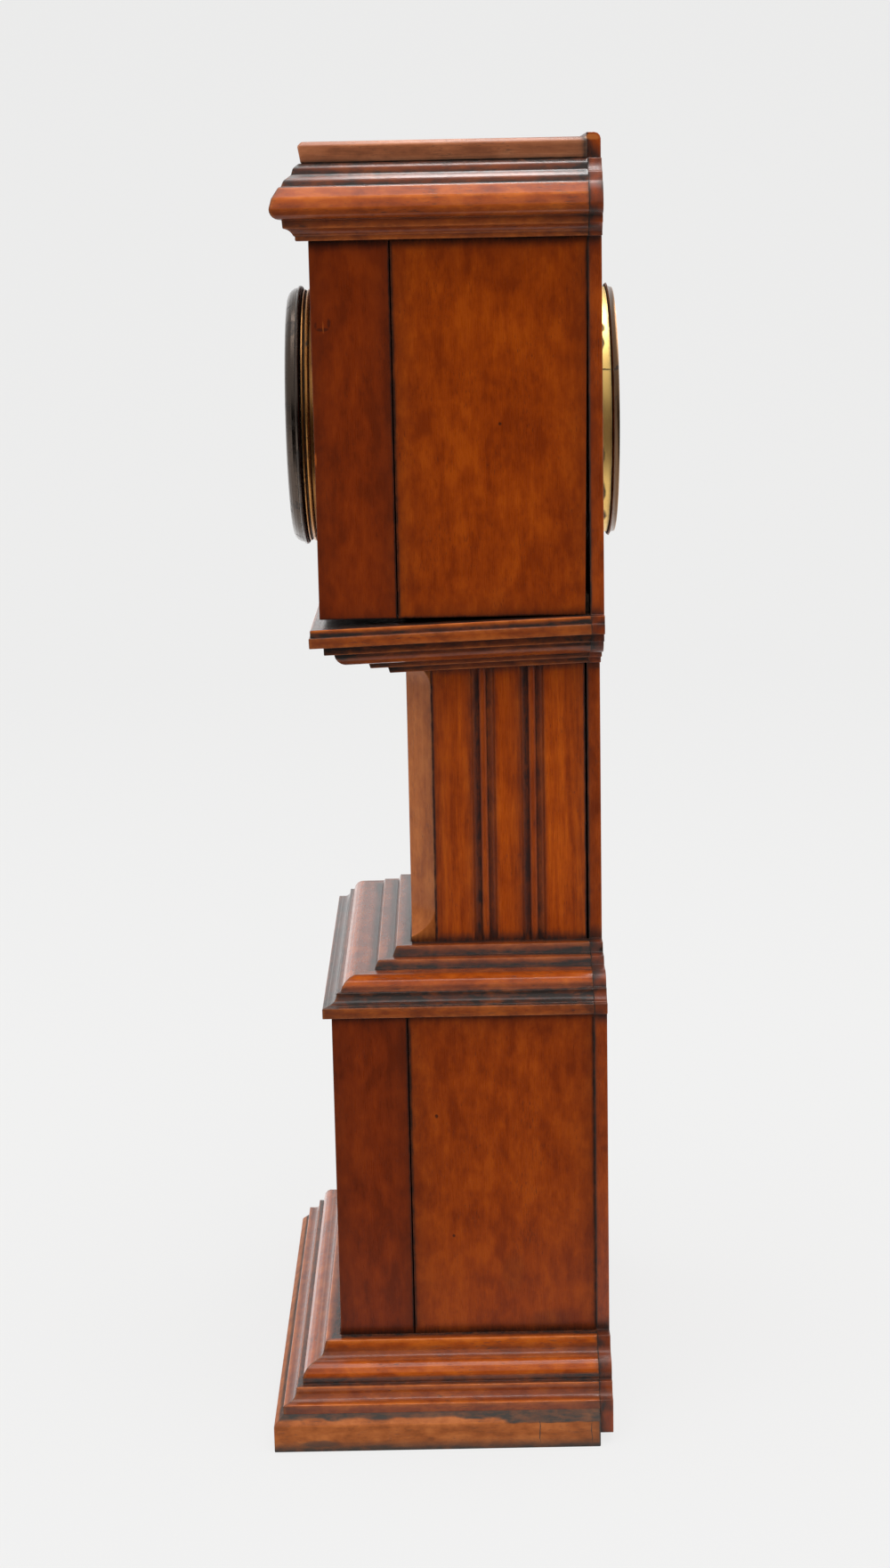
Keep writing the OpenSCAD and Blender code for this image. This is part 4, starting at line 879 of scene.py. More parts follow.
def paint_corners(mesh: Mesh, marks: list[float], rule: Callable[[Vector, float], float]) -> None:
    """Keeps the grime of each face corner, from its face's normal and its vertex's own mark."""
    values = [0.0] * len(mesh.loops)
    for face in mesh.polygons:
        for corner in face.loop_indices:
            values[corner] = rule(face.normal, marks[mesh.loops[corner].vertex_index])
    paint_mask(mesh, "soil", values, "CORNER")


@dataclass
class Moulding:
    """A set of three mitred lengths, cut to the section of the frame's own right length."""

    family: str
    box_node: str
    above: str
    below: str = ""
    # All in millimetres above the section's foot. A peak gives its stretch, then how far its crest goes out
    # and up; a rubbed level is a painted highlight line; a zone gives its stretch, then the least and the
    # most grime and painted shade in it.
    peaks: tuple[Zone, ...] = ()
    rubbed: tuple[float, ...] = ()
    zones: tuple[Zone, ...] = ()
    convex: float = 0.38 * MM
    concave: float = 0.16 * MM
    waver: float = 0.15 * MM
    spacing: float = 3.0 * MM
    detail: float = 0.55 * MM
    tilt: float = 0.0
    tight_ball: float = 0.7 * MM
    free_ball: float = 6.5 * MM
    keen_crest: float = 0.25 * MM
    dull_crest: float = 2.2 * MM
    highlight_width: float = 0.45
    joint_soil: float = 0.85
    joint_line: float = 0.7 * MM
    joint_fade: float = 9.0 * MM
    long_wave: float = 34.0 * MM
    short_wave: float = 11.0 * MM

    # Distances of the rings beside a joint, in millimetres, and each length's own place in the noise.
    NEAR_JOINT = (0.0, 0.35, 0.9, 1.8, 3.5, 6.5)
    SEEDS = {"front": 3.1, "left": 7.7, "right": 12.9}

    def build(self, palette: Palette) -> None:
        """Builds the front, left and right lengths."""
        nodes = cad_nodes()
        right = nodes[f"{self.family}_right"]
        low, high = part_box(self.box_node)
        pivot = self._pivot(right)
        tilting = self._tilting(pivot)
        corners = [tilting @ p for p in flat_sections(right, Vector((0.0, 1.0, 0.0)))]
        rear = max(p.y for p in corners)
        section = wound([Vector((p.x - high.x, p.z)) for p in corners])
        section = crowded(eased(self._worked(section), self.convex, self.concave), self.detail)
        soil, crest = self._masks(section, *(self._wall(name, high.x) for name in (self.above, self.below)))
        mid = (low.x + high.x) / 2
        half = (high.x - low.x) / 2

        def corner(way: float, y: float, step: float) -> Place:
            """Places a section point at one end: on which side, how far back and how far in the mitre."""
            return lambda out, z: Vector((mid + way * (half + out), y - step * out, z))

        right_rear, right_front = corner(1.0, rear, 0.0), corner(1.0, low.y, 1.0)
        left_rear, left_front = corner(-1.0, rear, 0.0), corner(-1.0, low.y, 1.0)
        runs = (
            ("right", right_rear, right_front, Grain.ALONG_Y),
            ("left", left_front, left_rear, Grain.ALONG_Y),
            ("front", right_front, left_front, Grain.ALONG_X),
        )
        for side, start, end, grain in runs:
            mesh, ends = self._length(section, start, end, side)
            mesh.transform(tilting.inverted())
            paint_mask(mesh, "soil", [self._gathered(s, m) for m in ends for s in soil])
            paint_mask(mesh, "crest", [c for _ in ends for c in crest])
            name = f"{self.family}_{side}"
            piece = mesh_object(f"{name}_worked", mesh, palette.get(palette.moulded, grain), CASE)
            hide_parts(name)

    def _worked(self, section: list[Vector]) -> list[Vector]:
        """Works each listed stretch of the section to a single soft crest."""
        foot = min(p.y for p in section)
        for low, high, out, up in self.peaks:
            inside = [i for i, p in enumerate(section) if low * MM < p.y - foot < high * MM and p.x > 0.0]
            first, last = section[inside[0] - 1], section[(inside[-1] + 1) % len(section)]
            crest = first.lerp(last, 0.5) + Vector((out, up)) * MM
            section = section[:inside[0]] + [crest] + section[inside[-1] + 1:]
        return section

    @staticmethod
    def _wall(name: str, face: float) -> float | None:
        """Gives how far a neighbouring piece's face stands out from the box's, if there is one."""
        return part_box(name)[1].x - face if name else None

    def _masks(
        self, section: list[Vector], upper: float, lower: float | None,
    ) -> tuple[list[float], list[float]]:
        """Works out the grime and painted shade of the recesses, and the worn arrises with their painted
        highlight lines, round the section.

        Args:
            section: Points of the section.
            upper: Where the face above the moulding stands.
            lower: Where the face below it stands, or None for a board that runs out under it.

        Returns:
            The grime with its painted shade, and the wear with its painted highlights, at each point.
        """
        top = max(p.y for p in section)
        foot = min(p.y for p in section)
        steps = [k * MM for k in range(1, 16)]
        walls = [Vector((upper, top + s)) for s in steps]
        if lower is None:
            walls += [Vector((s, foot)) for s in steps]
        else:
            walls += [Vector((lower, foot - s)) for s in steps]
        # Painted shade: the smaller the ball that reaches a point, the darker it is, together with its grime.
        outer = ball_radii(section, walls, 1.0)
        inner = ball_radii(section, [], -1.0)
        soil = [1.0 - ramp(r, self.tight_ball, self.free_ball) for r in outer]
        for low, high, least, most in self.zones:
            for i, point in enumerate(section):
                if low * MM <= point.y - foot < high * MM:
                    soil[i] = min(most, max(least, soil[i]))
        soil = evened(soil, 2)
        crest = evened([1.0 - ramp(r, self.keen_crest, self.dull_crest) for r in inner], 1)
        # Each rubbed level paints a pale highlight line along the length.
        for level in self.rubbed:
            rows = [((p.y - foot) / MM - level) / self.highlight_width for p in section]
            crest = [max(c, math.exp(-(r ** 2))) for c, r in zip(crest, rows)]
        return soil, [c * (1.0 - 0.6 * s) for c, s in zip(crest, soil)]

    @staticmethod
    def _pivot(right: Object) -> Vector:
        """Gives the upper rear edge, about which a dropped moulding has turned."""
        places = [v.co for v in right.data.vertices]
        return Vector((0.0, max(p.y for p in places), max(p.z for p in places)))

    def _tilting(self, pivot: Vector) -> Matrix:
        """Gives the turn that levels a dropped moulding."""
        return Matrix.Translation(pivot) @ Matrix.Rotation(-self.tilt, 4, "X") @ Matrix.Translation(-pivot)

    def _length(self, section: list[Vector], start: Place, end: Place, side: str) -> tuple[Mesh, list[float]]:
        """Sweeps the section between its two ends, with a slight waver along it.

        Args:
            section: Points of the section: outward distance and height.
            start: Gives the place of a section point at the first end.
            end: Gives the place of a section point at the last end.
            side: Which of the three lengths this is.

        Returns:
            The mesh, and for each ring how far it is from a joint.
        """
        reach = (end(0.0, 0.0) - start(0.0, 0.0)).length
        near = [n * MM for n in self.NEAR_JOINT]
        count = max(6, round(reach / self.spacing))
        marks = sorted(near + [reach - n for n in near] + [reach * k / count for k in range(1, count)])
        rings = []
        for mark in marks:
            t = mark / reach
            shift = max(0.0, self._waver(mark, side) * min(1.0, 12 * t, 12 * (1 - t)))
            rings.append([start(p.x - shift, p.y).lerp(end(p.x - shift, p.y), t) for p in section])
        ends = [min(m, reach - m) for m in marks]
        return skin(rings, f"{self.family}_{side}"), ends

    def _gathered(self, soil: float, away: float) -> float:
        """Gives the grime and painted shade at a point of the section, with more of it the nearer a joint is.
        """
        crisp = self.joint_soil * math.exp(-away / self.joint_line)
        return min(1.0, max(crisp, soil * (1.0 + 0.7 * math.exp(-away / self.joint_fade))))

    def _waver(self, along: float, side: str) -> float:
        """Gives how far the plane has cut in at one place of a length."""
        seed = self.SEEDS[side] + 31.0 * len(self.family)
        broad = noise.noise(Vector((along / self.long_wave, 0.0, seed)))
        fine = noise.noise(Vector((along / self.short_wave, 0.0, seed + 5.0)))
        return self.waver * (0.8 * broad + 0.3 * fine)


def cad_nodes() -> dict[str, Object]:
    """Gives the frame's CAD nodes by name."""
    return {o["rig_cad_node"]: o for o in bpy.data.objects if "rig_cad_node" in o}


@dataclass
class Board:
    """A board of the case, with eased arrises, old polish gathered along its joints and painted shade fading
    out beside them.
    """

    node: str
    finish: WoodFinish
    slot: str
    grain: Grain = Grain.ALONG_Z
    ease: float = 0.32 * MM
    # Sides with polish gathered in a joint and painted shade beside it, and sides with only the fading
    # painted shade: the letters of _depth.
    joints: str = ""
    faded: str = ""
    line: float = 0.42 * MM
    sharpest: float = 30.0

    # Rows of vertices beside a joint, in millimetres from it.
    STEPS = (0.15, 0.35, 0.6, 0.9, 1.4, 2.2, 3.5, 5.5, 8.5, 13.0, 21.0, 34.0)

    def build(self, palette: Palette) -> Object:
        """Builds the board from the frame's own shape and gives the new piece."""
        source = cad_nodes()[self.node]
        shape = welded(source.data)
        low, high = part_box(self.node)
        self._shaped(shape, low, high)
        limit = math.radians(self.sharpest)
        edges = [e for e in shape.edges if len(e.link_faces) == 2 and e.calc_face_angle(0.0) > limit]
        bmesh.ops.bevel(
            shape, geom=edges, offset=self.ease, offset_type="OFFSET", segments=3, profile=0.6,
            affect="EDGES", clamp_overlap=False,
        )
        for side in self.joints + self.faded:
            self._cut(shape, side, low, high)
        self._ready(shape, source)
        mesh = finished(shape, f"{self.node}_worked")
        self._mask(mesh, low, high)
        piece = mesh_object(mesh.name, mesh, palette.get(self.finish, self.grain), CASE)
        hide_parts(self.node)
        return piece

    def _shaped(self, shape: Shape, low: Vector, high: Vector) -> None:
        """Works the board's own shape before its arrises are eased; a plain board keeps the frame's."""

    def _ready(self, shape: Shape, source: Object) -> None:
        """Adds the vertices that a board's own mask needs; a plain board needs none."""

    def _mask(self, mesh: Mesh, low: Vector, high: Vector) -> None:
        """Paints the grime of the joints and the painted shade beside them."""
        if self.joints or self.faded:
            paint_mask(mesh, "soil", [self._soil_and_shade(v.co, low, high) for v in mesh.vertices])

    @staticmethod
    def _depth(point: Vector, side: str, low: Vector, high: Vector) -> float:
        """Gives how far a point lies from one side: f front, b back, t top, u underside."""
        depths = {"f": point.y - low.y, "b": high.y - point.y, "t": high.z - point.z, "u": point.z - low.z}
        return depths[side]

    def _cut(self, shape: Shape, side: str, low: Vector, high: Vector) -> None:
        """Adds rows of vertices alongside one joint, for the mask to follow."""
        inward = Vector({"f": (0, 1, 0), "b": (0, -1, 0), "t": (0, 0, -1), "u": (0, 0, 1)}[side])
        corner = low if side in "fu" else high
        for step in self.STEPS:
            sliced(shape, corner + inward * step * MM, inward)

    def _soil_and_shade(self, point: Vector, low: Vector, high: Vector) -> float:
        """Gives the old polish dense in the joint, and the painted shade that fades out for some way beyond
        it.
        """
        most = 0.0
        for side in self.joints + self.faded:
            depth = max(0.0, self._depth(point, side, low, high))
            wide = 0.16 * math.exp(-depth / (16.0 * MM))
            if side in self.faded:
                most = max(most, wide + 0.30 * math.exp(-depth / (5.0 * MM)))
                continue
            strength = 0.8 if side in "tu" else 1.0
            crisp = math.exp(-((depth / self.line) ** 2)) + 0.34 * math.exp(-depth / (3.6 * MM))
            most = max(most, strength * crisp + wide)
        return min(1.0, most)


@dataclass
class WaistFront(Board):
    """The front board of the waist, whose paler finish paints the sheen of the two chamfers and whose broad
    face is darkened back.
    """

    darkened: float = 0.56

    def _mask(self, mesh: Mesh, low: Vector, high: Vector) -> None:
        """Paints the joints, and darkens the broad face, so that only the chamfers keep the painted sheen of
        the finish.
        """
        marks = [self._soil_and_shade(v.co, low, high) for v in mesh.vertices]
        paint_corners(mesh, marks, lambda normal, mark: max(mark, self.darkened if normal.y < -0.9 else 0.0))


@dataclass
class WaistSide(Board):
    """A side board of the waist, whose two beaded channels hold old polish and painted shade."""

    # Rows of vertices to each side of a channel's middle, in millimetres.
    ROWS = (0.0, 0.6, 1.2, 1.6, 2.0, 2.8, 3.6, 4.2, 4.6, 5.1, 5.8, 6.8, 8.2)
    # The bead's grime and painted shade, then in millimetres its half width, where a slope starts and ends,
    # and the rim.
    CHANNEL = (0.34, 0.6, 1.7, 2.2, 4.5)
    # The fade in millimetres of the painted shadow beyond the rim, and the grime and painted shade of the
    # slope and of the rim, in front of and behind a bead.
    AHEAD = (2.6, 0.96, 0.55)
    BEHIND = (0.7, 0.74, 0.50)

    def _ready(self, shape: Shape, source: Object) -> None:
        """Finds the middles of the channels and cuts rows of vertices beside them."""
        ends = flat_sections(source, Vector((0.0, 0.0, 1.0)))
        face = max(abs(p.x) for p in ends)
        deep = sorted(p.y for p in ends if 1.2 * MM < face - abs(p.x) < 3.0 * MM)
        gap = max(range(1, len(deep)), key=lambda i: deep[i] - deep[i - 1])
        self.middles = [(g[0] + g[-1]) / 2 for g in (deep[:gap], deep[gap:])]
        for middle in self.middles:
            for row in self.ROWS:
                for way in (-1.0, 1.0):
                    sliced(shape, Vector((0.0, middle + way * row * MM, 0.0)), Vector((0.0, 1.0, 0.0)))

    def _mask(self, mesh: Mesh, low: Vector, high: Vector) -> None:
        """Paints the grime and painted shade of the joints and of the channels."""
        values = [max(self._soil_and_shade(v.co, low, high), self._channel_grime_and_shade(v.co.y)) for v in mesh.vertices]
        paint_mask(mesh, "soil", values)

    def _channel_grime_and_shade(self, y: float) -> float:
        """Gives the grime and painted shade across a channel: dense on its slopes, thinner on its bead, and
        fading in front as a painted shadow.
        """
        most = 0.0
        bead, bead_half, slope_start, slope_end, rim_at = self.CHANNEL
        for middle in self.middles:
            reach = abs(y - middle) / MM
            fade, slope, rim = self.AHEAD if y < middle else self.BEHIND
            if reach < slope_start:
                grime = bead + (slope - bead) * ramp(reach, bead_half, slope_start)
            elif reach < rim_at:
                grime = slope + (rim - slope) * ramp(reach, slope_end, rim_at)
            else:
                grime = rim * math.exp(-(reach - rim_at) / fade)
            most = max(most, grime)
        return most


@dataclass
class OutlineBoard(Board):
    """The back board, whose edge follows the whole case and holds grime and painted shade in its steps."""

    detail: float = 1.2 * MM
    foot: float = 5.6 * MM
    off_floor: float = 0.4 * MM

    def _shaped(self, shape: Shape, low: Vector, high: Vector) -> None:
        """Brings the board's foot down behind the plinth."""
        for vertex in shape.verts:
            if vertex.co.z < low.z + 0.1 * MM:
                vertex.co.z = max(vertex.co.z - self.foot, self.off_floor)

    def _ready(self, shape: Shape, source: Object) -> None:
        """Keeps the board's outline and cuts its long edges short enough for the mask."""
        ends = flat_sections(source, Vector((0.0, -1.0, 0.0)))
        self.outline = crowded(wound([Vector((p.x, p.z)) for p in ends]), self.detail)
        families = ("base_moulding", "step_moulding", "shelf_moulding", "cornice")
        boxes = [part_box(f"{family}_right") for family in families]
        self.levels = [(box[0].z, box[1].z) for box in boxes]
        radii = ball_radii(self.outline, [], 1.0)
        self.soil = evened([1.0 - ramp(r, 0.9 * MM, 6.0 * MM) for r in radii], 2)
        self.tree = KDTree(len(self.outline))
        for i, point in enumerate(self.outline):
            self.tree.insert(point.to_3d(), i)
        self.tree.balance()
        low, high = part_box(self.node)
        broad = [f for f in shape.faces if self._lies(f, low.y) or self._lies(f, high.y)]
        bmesh.ops.delete(shape, geom=broad, context="FACES_ONLY")
        bmesh.ops.delete(shape, geom=[e for e in shape.edges if not e.link_faces], context="EDGES")
        long_edges = {}
        for edge in shape.edges:
            if abs(edge.verts[0].co.y - edge.verts[1].co.y) < 1e-6 and edge.calc_length() > 2 * self.detail:
                long_edges.setdefault(round(edge.calc_length() / self.detail) - 1, []).append(edge)
        for cuts, edges in long_edges.items():
            bmesh.ops.subdivide_edges(shape, edges=edges, cuts=cuts)
        for level, way in ((low.y, -1.0), (high.y, 1.0)):
            ring = [e for e in shape.edges if len(e.link_faces) == 1 and self._lies(e, level)]
            bmesh.ops.triangle_fill(shape, use_beauty=True, edges=ring, normal=Vector((0.0, way, 0.0)))

    @staticmethod
    def _lies(part: object, y: float) -> bool:
        """Tells whether a face or an edge lies in one plane across the clock's depth."""
        return all(abs(v.co.y - y) < LEVEL for v in part.verts)

    def _mask(self, mesh: Mesh, low: Vector, high: Vector) -> None:
        """Paints the grime and painted shade round the edge alone, so that the broad faces stay clean."""
        rim = [self._rim(v.co, low) for v in mesh.vertices]
        paint_corners(mesh, rim, lambda normal, mark: mark if abs(normal.y) < 0.8 else 0.0)

    def _rim(self, point: Vector, low: Vector) -> float:
        """Gives the grime at a point of the edge in the joint at its front, and the grime and painted shade
        in the outline's steps and beside the mouldings.
        """
        nearest = self.tree.find(Vector((point.x, point.z, 0.0)))[1]
        depth = max(0.0, point.y - low.y)
        crisp = math.exp(-((depth / self.line) ** 2)) + 0.30 * math.exp(-depth / (1.6 * MM))
        beside = any(low_z - 0.8 * MM < point.z < high_z + 0.8 * MM for low_z, high_z in self.levels)
        patch = 0.50 + 0.75 * noise.noise(Vector((3.1, depth / (4 * MM), point.z / (3.2 * MM))))
        lodged_and_shaded = patch + 0.6 * math.exp(-depth / (1.2 * MM)) if beside else 0.0
        return min(1.0, max(crisp, 0.9 * self.soil[nearest], lodged_and_shaded))


@dataclass
class PlinthBoard(Board):
    """The plinth board, whose dirty upper edge slopes down from the base moulding to its face."""

    rise: float = 2.8 * MM
    drop: float = 0.7 * MM
    ragged: float = 0.5 * MM
    spacing: float = 2.0 * MM

    # Rows of vertices on the slope, in millimetres below the face's upper edge.
    ROWS = (-2.9, -2.5, -2.1, -1.8, -1.5, -1.2, -0.9, -0.6, -0.3, 0.0, 0.3, 0.6, 1.0)

    def _shaped(self, shape: Shape, low: Vector, high: Vector) -> None:
        """Cuts the slope along the front and both sides, from a top lifted to meet the moulding."""
        self.face_top = high.z - self.drop
        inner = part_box("base_moulding_right")[1].x
        out = high.x - inner
        for vertex in shape.verts:
            if vertex.co.z > high.z - 0.1 * MM:
                vertex.co.z += self.rise
        fall = self.rise + self.drop
        cuts = (
            (Vector((high.x, 0.0, self.face_top)), Vector((fall, 0.0, out))),
            (Vector((low.x, 0.0, self.face_top)), Vector((-fall, 0.0, out))),
            (Vector((0.0, low.y, self.face_top)), Vector((0.0, -fall, out))),
        )
        for place, normal in cuts:
            sliced(shape, place, normal.normalized(), cleared=True)
            bmesh.ops.holes_fill(shape, edges=[e for e in shape.edges if len(e.link_faces) == 1])

    def _soil_and_shade(self, point: Vector, low: Vector, high: Vector) -> float:
        """Adds the grime of the slope: on its upper half in front, and down over its arris at the back."""
        behind = ramp(point.y, 18.0 * MM, 30.0 * MM)
        level = self.face_top + (1.7 - 1.9 * behind) * MM + 1.6 * self.ragged * noise.noise(point / (5 * MM))
        return max(super()._soil_and_shade(point, low, high), 0.92 * ramp(point.z, level - 0.4 * MM, level + 0.3 * MM))

    def _ready(self, shape: Shape, source: Object) -> None:
        """Cuts rows of vertices along the slope and closely across it, for the ragged edge of the grime."""
        low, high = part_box(self.node)
        for vertex in shape.verts:
            vertex.co.x = min(max(vertex.co.x, low.x), high.x)
        for step in self.ROWS:
            sliced(shape, Vector((0.0, 0.0, self.face_top - step * MM)), Vector((0.0, 0.0, 1.0)))
        for k in range(1, round((high.y - low.y) / self.spacing)):
            sliced(shape, Vector((0.0, low.y + self.spacing * k, 0.0)), Vector((0.0, 1.0, 0.0)))


@dataclass
class Case:
    """The wooden case, from the plinth board to the top board."""

    shelf_drop: float = math.radians(1.9)

    def build(self, palette: Palette) -> None:
        """Builds every wooden piece."""
        mouldings = (
            Moulding(
                "base_moulding", "base_front", "base_side_right",
                zones=(
                    (0.0, 2.3, 0.80, 0.95), (2.3, 5.9, 0.42, 0.6), (5.9, 10.0, 0.0, 0.4),
                    (10.0, 18.5, 0.0, 0.74), (18.5, 22.0, 0.0, 0.4),
                ),
            ),
            Moulding(
                "step_moulding", "base_front", "waist_side_right", "base_side_right",
                zones=(
                    (0.0, 4.0, 0.45, 0.6), (4.0, 8.5, 0.96, 1.0), (8.5, 13.4, 0.0, 0.5),
                    (13.4, 21.0, 0.38, 1.0),
                ),
            ),
            Moulding(
                "shelf_moulding", "hood_front", "hood_side_right", "waist_side_right",
                tilt=self.shelf_drop,
                zones=((0.0, 14.5, 0.42, 0.75), (14.5, 18.7, 0.38, 0.5)),
            ),
            Moulding(
                # The rubbed level paints a pale highlight line along the corona's crest, and the lowest zone
                # paints the shade of the cornice's downward faces.
                "cornice", "hood_front", "top_board", "hood_side_right", convex=0.6 * MM, rubbed=(14.6,),
                peaks=((11.7, 18.2, 0.75, -0.35), (18.6, 22.2, 0.7, 0.2), (22.7, 26.2, 0.7, 0.2)),
                zones=(
                    (0.0, 10.8, 0.34, 0.52), (10.8, 13.4, 0.18, 0.42), (13.4, 18.3, 0.0, 0.15),
                    (18.3, 26.4, 0.60, 0.95),
                ),
            ),
        )
        for moulding in mouldings:
            moulding.build(palette)
        for board in self._boards():
            board.build(palette)

    @staticmethod
    def _boards() -> list[Board]:
        """Lists the boards with their finishes."""
        panels = ("base_side_left", "base_side_right", "hood_side_left", "hood_side_right")
        sides = ("waist_side_left", "waist_side_right")
        blocks, inner = ("base_front", "hood_front"), ("base_top", "hood_floor", "hood_ceiling")
        fine, across, dull = 0.22 * MM, Grain.ALONG_Y, "walnut_dull"
        boards = [Board(n, Palette.panel, "walnut", joints="fbtu", line=0.7 * MM) for n in panels]
        boards += [WaistSide(n, Palette.waist, "walnut", ease=fine, joints="fbtu") for n in sides]
        boards.append(WaistFront("waist_front", Palette.sheened_post, "walnut", ease=fine, joints="btu"))
        boards += [Board(n, Palette.block, "walnut_dark", joints="btu", faded="f") for n in blocks]
        boards += [Board(n, Palette.raw, dull) for n in inner]
        boards.append(PlinthBoard("plinth_board", Palette.foot, dull, across, ease=0.5 * MM, joints="b"))
        top = Board("top_board", Palette.dull, dull, across, ease=0.6 * MM, joints="b", line=1.4 * MM)
        boards.append(top)
        boards.append(
            OutlineBoard("back_board", Palette.edging, "walnut", ease=0.25 * MM, joints="f", line=0.55 * MM)
        )
        return boards


@dataclass
class DialFace:
    """The enamel dial's painted figures: a minute track and upright Roman hours."""

    track_inner: float = 36.9 * MM
    track_outer: float = 39.3 * MM
    line: float = 0.18 * MM
    numeral_foot: float = 28.2 * MM
    numeral_head: float = 35.4 * MM
    thick: float = 1.15 * MM
    thin: float = 0.32 * MM
    serif: float = 0.85 * MM
    lean: float = 1.75 * MM
    hour_tick: float = 0.62 * MM
    minute_tick: float = 0.24 * MM
    paint: float = 0.03 * MM

    CIRCLE_STEPS = 180
    WIDTHS = {"I": 1.95 * MM, "V": 5.1 * MM, "X": 5.1 * MM}
    HOURS = ("XII", "I", "II", "III", "IIII", "V", "VI", "VII", "VIII", "IX", "X", "XI")

    def build(self, palette: Palette) -> None:
        """Builds the painted figures on the front of the enamel."""
        low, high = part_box("dial")
        self.centre = Vector(((low.x + high.x) / 2, low.y, (low.z + high.z) / 2))
        black = palette.get(palette.paint)
        mesh_object("hour_numerals", self._painted(self._numerals(), "numerals"), black, CASE)
        mesh_object("minute_track", self._painted(self._track(), "track"), black, CASE)

    def _painted(self, shapes: list[list[Point]], name: str) -> Mesh:
        """Gives flat outlines, seen from the front, the thickness of paint."""
        shape = bmesh.new()
        front = self.centre.y - self.paint
        rear = self.centre.y + self.paint / 2
        for outline in shapes:
            near = [shape.verts.new((self.centre.x + x, front, self.centre.z + z)) for x, z in outline]
            far = [shape.verts.new((self.centre.x + x, rear, self.centre.z + z)) for x, z in outline]
            count = len(outline)
            shape.faces.new(near)
            shape.faces.new(list(reversed(far)))
            for i in range(count):
                j = (i + 1) % count
                shape.faces.new((near[j], near[i], far[i], far[j]))
        bmesh.ops.recalc_face_normals(shape, faces=shape.faces)
        return kept(shape, name)

    @staticmethod
    def _bar(x0: float, x1: float, width: float, foot: float, head: float) -> list[Point]:
        """Gives a stroke from the foot to the head of a figure."""
        half = width / 2
        return [(x0 - half, foot), (x0 + half, foot), (x1 + half, head), (x1 - half, head)]

    def _letter(self, letter: str, x: float) -> list[list[Point]]:
        """Gives the strokes and serifs of one figure whose middle is at x."""
        foot, head = self.numeral_foot, self.numeral_head

        def cap(at: float, level: float) -> list[Point]:
            """Gives a serif that lies at one level."""
            return self._bar(at, at, 2 * self.serif, level, level + self.thin)

        top = head - self.thin
        if letter == "I":
            return [self._bar(x, x, self.thick, foot, head), cap(x, foot), cap(x, top)]
        lean = self.lean
        if letter == "V":
            return [
                self._bar(x, x - lean, self.thick, foot, head), self._bar(x, x + lean, self.thin, foot, head),
                cap(x - lean, top), cap(x + lean, top),
            ]
        return [
            self._bar(x + lean, x - lean, self.thick, foot, head),
            self._bar(x - lean, x + lean, self.thin, foot, head),
            cap(x - lean, foot), cap(x + lean, foot), cap(x - lean, top), cap(x + lean, top),
        ]

    def _numerals(self) -> list[list[Point]]:
        """Sets the twelve hours round the dial, their feet towards its middle."""
        shapes = []
        for hour, word in enumerate(self.HOURS):
            x = -sum(self.WIDTHS[c] for c in word) / 2
            angle = -math.radians(30.0 * hour)
            for letter in word:
                for stroke in self._letter(letter, x + self.WIDTHS[letter] / 2):
                    shapes.append([self._turned(p, angle) for p in stroke])
                x += self.WIDTHS[letter]
        return shapes

    @staticmethod
    def _turned(point: Point, angle: float) -> Point:
        """Turns a point about the dial's middle."""
        c, s = math.cos(angle), math.sin(angle)
        return (point[0] * c - point[1] * s, point[0] * s + point[1] * c)

    def _track(self) -> list[list[Point]]:
        """Gives the two circles of the minute track and its sixty ticks."""
        shapes = []
        steps = self.CIRCLE_STEPS
        for radius in (self.track_inner, self.track_outer):
            for i in range(steps):
                a, b = (math.tau * k / steps for k in (i, i + 1))
                inner, outer = radius, radius + self.line
                shapes.append([
                    (inner * math.sin(a), inner * math.cos(a)), (inner * math.sin(b), inner * math.cos(b)),
                    (outer * math.sin(b), outer * math.cos(b)), (outer * math.sin(a), outer * math.cos(a)),
                ])
        for minute in range(60):
            width = self.hour_tick if minute % 5 == 0 else self.minute_tick
            bar = self._bar(0.0, 0.0, width, self.track_inner, self.track_outer)
            shapes.append([self._turned(p, -math.radians(6.0 * minute)) for p in bar])
        return shapes


@dataclass
class Metalwork:
    """The bezels, the movement and the other pieces that keep the frame's shapes."""

    smooth_below: float = math.radians(40.0)

    def build(self, palette: Palette) -> None:
        """Gives every kept node its finish."""
        groups = {
            palette.bronze: ("front_bezel",),
            palette.browned: ("rear_door",),
            palette.seat: ("front_seat",),
            palette.gilt: ("rear_seat", "clamp_straps", "dial_plate", "pendulum_bob", "rating_nut"),
            palette.wheel: (
                "front_plate", "back_plate", "pillars", "barrel", "inter_wheel", "centre_wheel",
                "third_wheel", "escape_wheel", "minute_wheel", "hour_wheel", "suspension_cock",
            ),
            palette.steel: (
                "hinge_pins", "clamp_screws", "winding_arbor", "ratchet_wheel", "click", "anchor",
                "cannon_pinion", "suspension_spring", "pendulum_rod",
            ),
            palette.blued: ("hour_hand", "minute_hand"),
            palette.enamel: ("dial",),
            palette.clear: ("glass",),
        }
        nodes = cad_nodes()
        for finish, names in groups.items():
            for name in names:
                dress(nodes[name].data, palette.get(finish), self.smooth_below)
                LOG.info("node %s keeps its shape", nodes[name].name)


